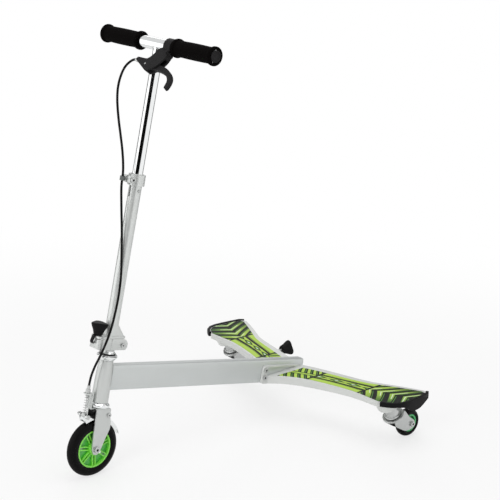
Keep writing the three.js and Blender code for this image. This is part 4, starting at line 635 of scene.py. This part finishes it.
def pad_edges(node):
    """Cubics y(distance from the middle) through the pad's front corners and its rear corners. A slanting
    line between them tells the two apart, and the corners of the tip itself are left out."""
    x, y, _ = corners_of(node).T
    low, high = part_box(node)
    line = low.y + (high.y - low.y) * (SPLIT_AT_ROOT + SPLIT_RISE * (x - PAD_INNER) / PAD_LENGTH)
    before_tip = x < PAD_INNER + TIP_SHARE * PAD_LENGTH
    sides = [side & before_tip for side in (y < line, y > line)]
    return [np.polyfit(x[side], y[side], 3) for side in sides]


FRONT_EDGE, REAR_EDGE = pad_edges("left_deck_pad")
ROOT_END, MIDDLE_START, MIDDLE_END, TIP_START = 0.19, 0.2, 0.64, 0.655
LOZENGES, CHEVRONS, HATCHES = 6.8, 10.5, 21.0
BORDERS, BORDER_HALF = (0.2, 0.65), 0.01
CRISP = 0.02


def deck_print():
    """Lime field, green towards the tip, with each motif laid over the one before by its own mask."""
    finish = Finish("deck_print", Specular_IOR_Level=0.2)
    place = finish.coordinates()
    x, y, _ = finish.split(place)
    reach = abs(x)

    def polynomial(weights):
        """The sum of weights times falling powers of the reach."""
        total = reach * weights[0] + weights[1]
        for weight in weights[2:]:
            total = total * reach + weight
        return total

    centre = polynomial((FRONT_EDGE + REAR_EDGE) / 2)
    half_width = polynomial((REAR_EDGE - FRONT_EDGE) / 2)
    across = (y - centre) / half_width
    along = (reach - PAD_INNER) * (1 / PAD_LENGTH)
    side = abs(across)

    lime, leaf, forest = "b4d64d", "5f9f3c", "1a3d24"
    ink, pale = "060807", "e4ecd8"
    tipwards = along.step(0.8, 0.4)
    shade = finish.mix(tipwards * (0.5 - across * 0.4), lime, leaf)
    shade = finish.mix((side.step(0.6, 0.7) & tipwards) * 0.95, shade, forest)

    middle_part = along.span(MIDDLE_START, MIDDLE_END, 0.004)
    shade = finish.mix(side.span(0.28, 0.52, CRISP) & middle_part, shade, ink)
    shade = finish.mix(side.span(0.56, 0.6, CRISP) & middle_part, shade, forest)

    cell = abs((along * LOZENGES) % 1.0 - 0.5) * 2
    lozenge = cell * 0.95 + side * 4.2
    for limit, fill in ((1.0, ink), (0.62, leaf), (0.3, pale)):
        shade = finish.mix((1 - lozenge.step(limit, 0.06)) & middle_part, shade, fill)

    outer = along.step(TIP_START, 0.006)
    wave = (along * CHEVRONS - side * 1.1) % 1.0
    crowding = 0.5 + (along - 0.66) * 0.8
    bars = (1 - (wave - crowding).step(0.0, 0.05)) & wave.step(0.03, 0.05)
    shade = finish.mix(bars & outer, shade, ink)
    shade = finish.mix(wave.span(0.15, 0.2, CRISP) & outer & side.step(0.12, CRISP), shade, leaf)
    glints = wave.span(0.84, 0.91, 0.03) & outer & (1 - side.step(0.5, CRISP))
    shade = finish.mix(glints, shade, pale)

    root = 1 - along.step(ROOT_END, 0.006)
    hatch = (along * HATCHES + across * 1.6) % 1.0
    shade = finish.mix(hatch.span(0.08, 0.62, 0.06) & root & side.step(0.2, CRISP), shade, ink)
    shade = finish.mix(hatch.span(0.26, 0.36, 0.04) & root & side.step(0.3, CRISP), shade, leaf)
    shade = finish.mix(root & (1 - side.step(0.2, CRISP)) & side.step(0.1, CRISP), shade, forest)
    for border in BORDERS:
        shade = finish.mix(along.span(border - BORDER_HALF, border + BORDER_HALF, 0.003), shade, ink)

    grip = finish.noise(place, scale=1500, detail=2)
    wear = finish.noise(place, scale=22, detail=4)
    finish.wire(
        Base_Color=finish.mix(wear * 0.05, shade, "9aa58e"),
        Roughness=0.42 + grip * 0.2 + wear * 0.1,
    )
    finish.bump(grip, distance=0.00008, strength=0.7)
    return finish


finishes["deck_print"] = deck_print()
print("pad runs from", round(PAD_INNER, 3), "to", round(PAD_OUTER, 3), "m from the middle")

# %% [markdown]
# ## Two ways to make a piece
# A piece either comes from a grid of our own, or it takes the CAD piece's shape. The second way copies the
# CAD triangles, welds them, joins the flat ones into whole faces, and rounds the edges with a live Bevel,
# because a real casting or pressing never has a knife edge and the thin highlights there are what makes it
# look solid.

# %% Adding pieces
SLOTS = {part["node"]: part["material_slot"] for part in frame["record"]["subparts"]}
CREASE, ROUND_CREASE, COIL_CREASE = 38, 50, 60
CAD_WELD, FLAT_WITHIN, BEVEL_SEGMENTS = 2e-6, 0.4, 2
nodes_made = set()


def add_piece(name, mesh, node, finish=None, smooth=CREASE, blended=False):
    """Links a mesh as a piece that stands for a CAD node: it rides on its body, in its slot. Edges are
    sharp from the angle in degrees on."""
    slot = SLOTS[node]
    mesh.shade_smooth()
    mesh.set_sharp_from_angle(angle=np.radians(smooth))
    mesh.materials.append(finishes[finish or slot].material)
    piece = bpy.data.objects.new(name, mesh)
    bpy.context.scene.collection.objects.link(piece)
    if not blended:
        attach(piece, frame["nodes"][node]["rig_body"])
    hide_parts(node)
    nodes_made.add(node)
    return piece


def mark_socket(work, centre):
    """Gives the attribute "socket" to a bolt's faces within half its radius of its axis, along X."""
    layer = work.faces.layers.float.new("socket")
    ring = [np.hypot(vert.co.y - centre[1], vert.co.z - centre[2]) for vert in work.verts]
    work.verts.index_update()
    limit = max(ring) / 2
    for face in work.faces:
        if max(ring[vert.index] for vert in face.verts) < limit:
            face[layer] = 1.0


def dressed(node, edge, finish, smooth):
    """The CAD node's own shape, welded, with flat faces joined up and its edges rounded by a Bevel."""
    data = frame["nodes"][node].data
    triangles = np.zeros(len(data.loops), int)
    data.loops.foreach_get("vertex_index", triangles)
    mesh = bpy.data.meshes.new(node + "_finished")
    mesh.from_pydata(corners_of(node).tolist(), [], triangles.reshape(-1, 3).tolist())
    work = bmesh.new()
    work.from_mesh(mesh)
    bmesh.ops.remove_doubles(work, verts=work.verts, dist=CAD_WELD)
    flat = np.radians(FLAT_WITHIN)
    bmesh.ops.dissolve_limit(work, angle_limit=flat, verts=work.verts, edges=work.edges)
    if "bolt" in node or "axle" in node:
        mark_socket(work, middle(node))
    work.to_mesh(mesh)
    work.free()
    piece = add_piece(node + "_finished", mesh, node, finish=finish, smooth=smooth)
    bevel = piece.modifiers.new("rounded_edges", "BEVEL")
    bevel.width = edge * MM
    bevel.segments = BEVEL_SEGMENTS
    bevel.limit_method = "ANGLE"
    bevel.angle_limit = np.radians(smooth)
    return piece


print(len(SLOTS), "nodes to make pieces for")

# %% [markdown]
# ## The brake cable
# The brake's cable leaves a ferrule at the lever, bows out to the side and comes back to a guide on the
# clamp. From there a second run passes the knob and ends in the brake's adjuster. Both are plastic sheath
# over a coiled liner, 5 mm thick and springy, so they hold a smooth curve. Their routes are the CAD's own,
# in the steering frame. The upper run gives way when the bars slide down and the lower one when the column
# folds, so neither is attached to a body.

# %% Brake cable
SHEATH_RADIUS, SHEATH_SIDES, ROUTE_STEPS = 2.5 * MM, 20, 10
UPPER_ROUTE = [
    (-29.8, -29.1, 819.2), (-35, -29.8, 818.6), (-41.5, -33, 813.5), (-47.5, -39, 802),
    (-51, -43.5, 784), (-53, -45, 760), (-52, -43, 735), (-49, -39, 711), (-44, -34.5, 686),
    (-37, -30.5, 661), (-27, -28.5, 634), (-16, -29.5, 608), (-9, -31.3, 589), (-8, -31.5, 577.8),
]
LOWER_ROUTE = [
    (-8, -31.5, 577.2), (-7.6, -30.6, 561), (-4, -25, 520), (4, -20, 471), (12, -17, 424),
    (18, -14.5, 384), (22, -14.5, 345), (25, -18, 306), (27, -24, 266), (25, -29.5, 236),
    (18, -32.5, 208), (8, -34.5, 180), (2, -35, 158), (0, -35, 138.4),
]


def cable_run(name, route, node):
    """A round tube on the smooth curve through the route, attached to no body."""
    path = smooth_path(steered(route), ROUTE_STEPS)
    sheath = round_tube(name, path, SHEATH_RADIUS, SHEATH_SIDES, AFT)
    run = add_piece(name, sheath, node, blended=True)
    return run, path


upper_cable, upper_path = cable_run("upper_cable_sheath", UPPER_ROUTE, "upper_brake_cable")
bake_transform(upper_cable)
lower_cable, _ = cable_run("lower_cable_sheath", LOWER_ROUTE, "lower_brake_cable")
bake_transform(lower_cable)

# %% [markdown]
# ## The bars
# The T-bar is chromed tube: a stem that slides in the column, a crossbar, and the weld bead where the one
# round meets the other. The stem's head ends inside the bead, so it isn't rounded.

# %% Bars
PIPE_EDGE = 0.4


def turned(name, outline, centre, axis, sides=SIDES, ring=True):
    """An outline of (radius, height, rounding) corners in millimetres, turned round an axis. It closes on
    itself, unless its two ends lie on the axis."""
    points = revolved(rounded(outline), centre, axis, sides)
    return welded(grid_mesh(name, points, closed_path=ring))


def pipe(name, bore, radius, low, high, centre, axis, high_edge=PIPE_EDGE):
    """A straight pipe from one height to another, with rounded ends."""
    low_end = [(bore, low, PIPE_EDGE), (radius, low, PIPE_EDGE)]
    high_end = [(radius, high, high_edge), (bore, high, high_edge)]
    return turned(name, low_end + high_end, centre, axis, FINE_SIDES)


def joined(name, *meshes):
    """One mesh that holds several."""
    work = bmesh.new()
    for mesh in meshes:
        work.from_mesh(mesh)
    whole = bpy.data.meshes.new(name)
    work.to_mesh(whole)
    work.free()
    return whole


STEM_RADIUS, STEM_BORE, STEM_FOOT, STEM_HEAD = 11.1, 9.2, 500, 852.5
CROSS_RADIUS, CROSS_BORE, CROSS_HALF, CROSS_HEIGHT = 12.7, 11.1, 172, 858
BAR_MIDDLE = steered((0, 0, CROSS_HEIGHT))
BEAD_RADIUS, BEAD_SIDES, BEAD_STEPS = 1.5, 16, 144


def weld_bead():
    """A bead along the line where the stem meets the crossbar. It lies r cos t across and r sin t aft, for
    the stem's radius r, and below the crossbar's middle by the root of its radius squared minus the aft
    distance squared."""
    t = np.linspace(0, 2 * np.pi, BEAD_STEPS, endpoint=False)
    across, aft = STEM_RADIUS * np.cos(t), STEM_RADIUS * np.sin(t)
    up = CROSS_HEIGHT - np.sqrt(CROSS_RADIUS**2 - aft**2)
    line = steered(np.stack([across, aft, up], axis=-1))
    outward = np.cos(t)[:, None] * ACROSS + np.sin(t)[:, None] * AFT
    return round_tube("bead", line, BEAD_RADIUS * MM, BEAD_SIDES, outward, closed_path=True)


stem = pipe("stem", STEM_BORE, STEM_RADIUS, STEM_FOOT, STEM_HEAD, AXLE, ALONG, high_edge=0)
crossbar = pipe("crossbar", CROSS_BORE, CROSS_RADIUS, -CROSS_HALF, CROSS_HALF, BAR_MIDDLE, ACROSS)
chrome_bars = add_piece("chrome_bars", joined("chrome_bars", stem, crossbar, weld_bead()), "handlebar")
print("bars of", len(chrome_bars.data.vertices), "points")

# %% [markdown]
# ## Grips and plugs
# The foam grips have a soft ring at each end, and a moulded plug closes each end of the crossbar. Both are
# turned round it. The right hand's outline is the left's with its sides changed over. The foam gives way
# under a hand.

# %% Grips and plugs
GRIP_OUTLINE = [
    (13.0, 56, 0.8), (19.6, 56, 2.6), (19.6, 63, 2.6), (16.9, 63.8, 1.0), (16.6, 68, 3),
    (17.4, 115, 40), (16.6, 162, 3), (16.9, 166.7, 1.0), (19.6, 167.5, 2.6), (19.6, 174.5, 2.6),
    (13.0, 174.5, 0.8),
]
PLUG_OUTLINE = [
    (0, 160, 0), (10.8, 160, 0.8), (10.8, 172.3, 0), (12.2, 172.3, 0.4), (12.2, 176.8, 1.4),
    (9.4, 176.8, 0.5), (9.0, 175.6, 0.3), (0, 175.6, 0),
]
for side, hand in ((1, "left"), (-1, "right")):
    outline = [(radius, side * across, edge) for radius, across, edge in GRIP_OUTLINE]
    name = hand + "_foam_grip"
    grip = add_piece(name, turned(name, outline, BAR_MIDDLE, ACROSS), hand + "_grip")
    outline = [(radius, side * across, edge) for radius, across, edge in PLUG_OUTLINE]
    name = hand + "_bar_plug"
    add_piece(name, turned(name, outline, BAR_MIDDLE, ACROSS, ring=False), hand + "_end_plug")
    print(hand, "grip and plug made")

# %% [markdown]
# ## Tyres
# Each tyre is a band of urethane whose tread is half an ellipse from shoulder to shoulder.

# %% Tyres
TYRE_SIDES, CROWN_STEPS = 144, 41


def tyre(name, node, axle, finish, inner, bead, shoulder, half_width, radius):
    """A band round an axle along X: a flat inside between the beads, and outside a half ellipse, whose
    points are shoulder + (radius - shoulder) cos t out and half_width sin t across."""
    t = np.linspace(-np.pi / 2, np.pi / 2, CROWN_STEPS)
    crown = np.stack([shoulder + (radius - shoulder) * np.cos(t), half_width * np.sin(t)], axis=-1)
    outline = [(inner, -bead, 0.5), *crown.tolist(), (inner, bead, 0.5)]
    band = turned(name, outline, axle, ACROSS, TYRE_SIDES)
    print(name, "of", len(band.vertices), "points")
    return add_piece(name, band, node, finish=finish, smooth=ROUND_CREASE)


FRONT_SIZES = {"inner": 42.3, "bead": 10.5, "shoulder": 49, "half_width": 12, "radius": 62.5}
CASTER_SIZES = {"inner": 20.8, "bead": 9.3, "shoulder": 25, "half_width": 11, "radius": 32.5}
tyre("front_tyre_band", "front_tyre", AXLE, "front_tyre", **FRONT_SIZES)
for hand in ("left", "right"):
    place = middle(hand + "_caster_tyre")
    tyre(hand + "_caster_band", hand + "_caster_tyre", place, "caster_tyre", **CASTER_SIZES)

# %% [markdown]
# ## Knobs
# The two knobs are turned on a lathe and then swollen into three lobes: the radius grows by a share of the
# cosine of three times the angle. The lobes point where the CAD knob's do. The skin's table gives the
# radius as a share of the neck's, and the height as a share of the length.

# %% Knobs
KNOB_NECK, KNOB_LENGTH, KNOB_RADIUS, KNOB_LOBE = 8.6, 25, 17.5, 3.1
KNOB_SIDES, KNOB_STEPS = 120, 8
KNOB_SHARES = [
    (1, 0), (1.14, 0.04), (1.26, 0.2), (1.45, 0.42), (1.78, 0.7), (1.93, 0.87), (1.93, 0.95),
    (1.78, 1), (0, 1.03),
]


def lobed_knob(node, foot, axis, bore, depth):
    """A knob on its foot's middle, with a blind bore for its screw. The radius gains lobe cos 3(t - t0),
    times its own share of the way from the neck's radius to the knob's."""
    side, third = square_to(axis)
    places = corners_of(node) - foot
    a, b = places @ side, places @ third
    farthest = (a**2 + b**2).argmax()
    lobe_at = np.arctan2(b[farthest], a[farthest])

    def swell(t, radius):
        share = np.clip((radius - KNOB_NECK) / (KNOB_RADIUS - KNOB_NECK), 0, 1)
        return share * KNOB_LOBE * np.cos(3 * (t - lobe_at))

    skin = smooth_path(np.array(KNOB_SHARES) * (KNOB_NECK, KNOB_LENGTH), KNOB_STEPS)
    skin[:, 0] = np.clip(skin[:, 0], 0, None)
    profile = np.vstack([[(0, depth), (bore, depth), (bore, 0)], skin])
    mesh = welded(grid_mesh(node + "_lobes", revolved(profile, foot, axis, KNOB_SIDES, swell)))
    return add_piece(node + "_lobes", mesh, node, smooth=ROUND_CREASE)


lobed_knob("fold_knob", steered((0, -34, 248.4)), ALONG, bore=3.9, depth=16.3)
rear_knob_foot = middle("rear_knob_stud")
rear_knob_foot[1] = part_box("rear_knob")[0].y
lobed_knob("rear_knob", rear_knob_foot, np.array([0.0, 1.0, 0.0]), bore=3.5, depth=10.3)
print("rear knob's foot at", rear_knob_foot.round(4).tolist())

# %% [markdown]
# ## The headset
# The head tube tapers from foot to neck between two cups, with a locknut above, which has a groove that
# the chrome finish paints black as shade. All are turned round the steering line. Each corner is a radius,
# a height and a rounding.

# %% Headset
HEADSET = {
    "lower_headset_cup": [
        (13.2, 91, 0.3), (21, 91, 0.8), (23, 93, 1.2), (23, 97, 1.2), (18.5, 101.2, 1.0),
        (13.2, 101.2, 0.3),
    ],
    "upper_headset_cup": [
        (13.2, 192.3, 0.3), (15, 192.3, 0.5), (22, 200.4, 2.0), (22, 202.8, 0.8),
        (13.2, 202.8, 0.3),
    ],
    "headset_locknut": [
        (13.0, 203.6, 0.3), (21, 203.6, 0.4), (21, GROOVE_LOW, 0.3), (17, GROOVE_LOW, 0.1),
        (17, GROOVE_TOP, 0.1), (17.4, GROOVE_TOP, 0.3), (14, 211.6, 2.0), (14, 214.1, 0.5),
        (13.0, 214.1, 0.3),
    ],
    "head_tube": [
        (13.2, 101.5, 0.4), (18.5, 101.5, 0.8), (18.5, 106, 6), (17.6, 166, 20), (15, 188, 8),
        (15, 192, 0.5), (13.2, 192, 0.4),
    ],
}
for node, outline in HEADSET.items():
    add_piece(node + "_turned", turned(node + "_turned", outline, AXLE, ALONG, FINE_SIDES), node)
print("headset of", len(HEADSET), "pieces")

# %% [markdown]
# ## The brake's spring and wire
# The spring between the brake arm and its stop is one unbroken wire that winds seven times and ends in a
# short straight at each end. The wire runs down its middle. Both give way as the arm rocks, between the
# fork at their tops and the arm at their feet, so neither is attached to a body.

# %% Spring and wire
BRAKE_LINE_AFT = -35
SPRING_LOW, SPRING_HIGH, SPRING_STRAIGHT = 78.9, 118.8, 1.2
COIL_RADIUS, COIL_WIRE, COIL_TURNS = 4.3, 0.6, 7
COIL_STEPS, COIL_SIDES = 32, 10
WIRE_LOW, WIRE_HIGH, WIRE_RADIUS = 78.9, 137.7, 0.8
WIRE_STEPS, WIRE_SIDES = 9, 12

t = np.linspace(0, 1, COIL_TURNS * COIL_STEPS + 1)
coil_height = SPRING_LOW + SPRING_STRAIGHT + (SPRING_HIGH - SPRING_LOW - 2 * SPRING_STRAIGHT) * t
angle = t * COIL_TURNS * 2 * np.pi
across, aft = np.cos(angle) * COIL_RADIUS, np.sin(angle) * COIL_RADIUS + BRAKE_LINE_AFT
coil = np.stack([across, aft, coil_height], axis=-1)
ends = np.array([[COIL_RADIUS, BRAKE_LINE_AFT, height] for height in (SPRING_LOW, SPRING_HIGH)])
coil = np.vstack([ends[:1], coil, ends[1:]])
outward = coil[:, :1] * ACROSS + (coil[:, 1:2] - BRAKE_LINE_AFT) * AFT
wound = round_tube("brake_spring_coil", steered(coil), COIL_WIRE * MM, COIL_SIDES, outward)
spring = add_piece("brake_spring_coil", wound, "brake_return_spring", smooth=COIL_CREASE, blended=True)
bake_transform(spring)

line = np.zeros((WIRE_STEPS, 3))
line[:, 1] = BRAKE_LINE_AFT
line[:, 2] = np.linspace(WIRE_LOW, WIRE_HIGH, WIRE_STEPS)
strand = round_tube("brake_pull_wire", steered(line), WIRE_RADIUS * MM, WIRE_SIDES, ACROSS)
pull_wire = add_piece("brake_pull_wire", strand, "brake_wire", blended=True)
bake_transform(pull_wire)
print("spring of", len(spring.data.vertices), "points")

# %% [markdown]
# ## Everything else
# The castings, pressings, tubes and bolts take the CAD shapes, each with its own edge rounding in
# millimetres. Small round parts keep smooth sides, because their creases begin at a wider angle.

# %% Dressed pieces
USUAL_EDGE = 0.3
EDGES = {
    "fork": 0.6,
    "lever_perch": 0.6,
    "brake_lever": 0.8,
    "hinge_block": 0.5,
    "tube_end_cap": 0.6,
}
OTHER_FINISHES = {"cable_guide": "guide_plastic"}
for hand in ("left_", "right_"):
    EDGES |= {hand + "wing": 0.8, hand + "tip_bumper": 0.8, hand + "deck_pad": 0.25}
    OTHER_FINISHES[hand + "caster_race"] = "zinc_steel"
ROUND_NAMES = ("bolt", "axle", "pin", "nut", "adjuster", "ferrule", "button", "stud")
left_over = [node for node in SLOTS if node not in nodes_made]
for node in left_over:
    crease = ROUND_CREASE if any(word in node for word in ROUND_NAMES) else CREASE
    dressed(node, EDGES.get(node, USUAL_EDGE), OTHER_FINISHES.get(node), crease)
print(len(left_over), "nodes dressed and", len(SLOTS) - len(left_over), "made anew")

# %% [markdown]
# ## The studio's floor
# The floor looks white to the camera and glows less near the scooter, so that the shadow shows there.

# %% Floor
FLOOR_SIDE, FLOOR_SHADE = 16, 0.94
SHADOW_REACH, SHADOW_GLOW = 1.2, 0.7


def stage_plane(name, size, place, rotation, material):
    """A flat rectangle that belongs to the studio."""
    mesh = bpy.data.meshes.new(name)
    half_width, half_height = size[0] / 2, size[1] / 2
    corners = [(x * half_width, y * half_height, 0) for x, y in ((-1, -1), (1, -1), (1, 1), (-1, 1))]
    mesh.from_pydata(corners, [], [(0, 1, 2, 3)])
    mesh.materials.append(material)
    plane = bpy.data.objects.new(name, mesh)
    plane.location = place
    plane.rotation_euler = rotation
    bpy.context.scene.collection.objects.link(plane)
    return plane


def floor_material():
    """White light to the camera, mixed with a matt white that takes the shadows near the scooter."""
    matt_white = (FLOOR_SHADE, FLOOR_SHADE, FLOOR_SHADE, 1)
    finish = Finish("floor_white", Roughness=0.9, Base_Color=matt_white, Specular_IOR_Level=0.1)
    place = finish.node("ShaderNodeTexCoord", output="Object")
    distance = finish.node("ShaderNodeVectorMath", {"operation": "LENGTH"}, place, output="Value")
    seen = finish.node("ShaderNodeLightPath", output="Is Camera Ray")
    far_off = distance.step(SHADOW_REACH, SHADOW_REACH)
    share = (far_off * (1 - SHADOW_GLOW) + SHADOW_GLOW) & seen
    matt = Wire(finish, finish.shader.outputs[0])
    glow = finish.node("ShaderNodeEmission", Strength=1.0)
    mixed = finish.node("ShaderNodeMixShader", None, share, matt, glow)
    finish.fill(finish.tree.nodes["Material Output"].inputs["Surface"], mixed)
    return finish.material


stage_plane("floor", (FLOOR_SIDE, FLOOR_SIDE), (0, 0, 0), (0, 0, 0), floor_material())
print("floor", FLOOR_SIDE, "m wide")

# %% [markdown]
# ## The studio's sky
# The world is plain white to the camera and lights the scooter at about half that strength. Reflections
# see it a little dimmer above the horizon, as a room's upper walls are.

# %% Sky
SKY_LIGHT, SKY_DIMMED = 0.55, 0.72
DIMS_FROM, DIMS_TO = 0.02, 0.2

world = bpy.data.worlds.new("studio")
world.use_nodes = True
bpy.context.scene.world = world
sky = NodeTree(world.node_tree)
camera_ray = sky.node("ShaderNodeLightPath", output="Is Camera Ray")
glossy_ray = sky.node("ShaderNodeLightPath", output="Is Glossy Ray")
strength = camera_ray.math("MAXIMUM", glossy_ray) * (1 - SKY_LIGHT) + SKY_LIGHT
height = sky.split(sky.node("ShaderNodeTexCoord", output="Generated"))[2]
dimming = sky.node("ShaderNodeMapRange", None, height, DIMS_FROM, DIMS_TO, 1.0, SKY_DIMMED)
tone = 1 - glossy_ray * (1 - dimming)
background = sky.tree.nodes["Background"]
sky.fill(background.inputs["Color"], sky.node("ShaderNodeCombineColor", None, tone, tone, tone))
sky.fill(background.inputs["Strength"], strength)
print("sky of", len(sky.tree.nodes), "nodes")

# %% [markdown]
# ## Lamps and cards
# Soft light comes from above and from the camera's left, and a rim light from behind. White, grey and dark
# cards stand where only reflections see them. They give the chrome its long stripes and the column softer
# ones. Azimuths are in degrees, where 0 is straight ahead and 90 is the rider's left.

# %% Lamps
LAMP_TARGET = Vector((0, 0, 0.4))


def soft_lamp(name, power, size, place):
    """A square area lamp that points at the scooter's middle."""
    data = bpy.data.lights.new(name, "AREA")
    data.energy = power
    data.size = size
    lamp = bpy.data.objects.new(name, data)
    place = Vector(place)
    aim = (place - LAMP_TARGET).to_track_quat("Z", "Y")
    lamp.matrix_world = Matrix.Translation(place) @ aim.to_matrix().to_4x4()
    bpy.context.scene.collection.objects.link(lamp)
    print(name, "of", power, "W")


soft_lamp("top_lamp", power=22, size=2.2, place=(0.3, 0.2, 3.0))
soft_lamp("key_lamp", power=30, size=1.4, place=(1.0, -2.8, 1.9))
soft_lamp("rim_lamp", power=11, size=1.2, place=(-2.2, 1.8, 1.7))

# %% Cards
STEM_MIDDLE = steered((0, 0, 680))


def card(name, start, end, distance, low, high, shade, glow):
    """A matt upright card that the stem sees from one azimuth to the other, at a distance and between two
    heights in metres. Only reflections show it."""
    finish = Finish(name + "_card", Roughness=1.0, Specular_IOR_Level=0.0)
    finish.wire(Base_Color=(shade, shade, shade, 1), Emission_Color=(1, 1, 1, 1), Emission_Strength=glow)
    azimuth = np.radians((start + end) / 2)
    width = 2 * distance * np.tan(np.radians((end - start) / 2))
    across, ahead = distance * np.sin(azimuth), distance * np.cos(azimuth)
    place = (across, STEM_MIDDLE[1] - ahead, (low + high) / 2)
    plane = stage_plane(name, (width, high - low), place, (np.pi / 2, 0, azimuth), finish.material)
    for ray in ("camera", "diffuse", "shadow", "transmission"):
        setattr(plane, "visible_" + ray, False)


# Each row is a name, two azimuths, a distance, two heights, a shade and a glow
CARDS = (
    ("stripe_card", -4, 68, 0.9, 0.4, 1.5, 0.004, 0.0),
    ("near_edge_card", -131, -68, 1.6, 0.0, 1.6, 0.25, 0.0),
    ("far_edge_card", 168, 214, 1.6, 0.0, 1.6, 0.3, 0.0),
    ("grey_card_across", 214, 250, 1.6, 0.2, 1.5, 0.0, 0.7),
    ("white_card_ahead", -68, -6, 1.7, 0.0, 1.6, 0.0, 1.35),
    ("white_card_beside", 71, 130, 1.7, 0.0, 1.6, 0.0, 0.96),
    ("white_card_behind", 130, 167, 1.7, 0.0, 1.6, 0.0, 0.96),
)
for row in CARDS:
    card(*row)

view = bpy.context.scene.view_settings
view.view_transform = "Standard"
print(len(CARDS), "cards stand round the scooter")
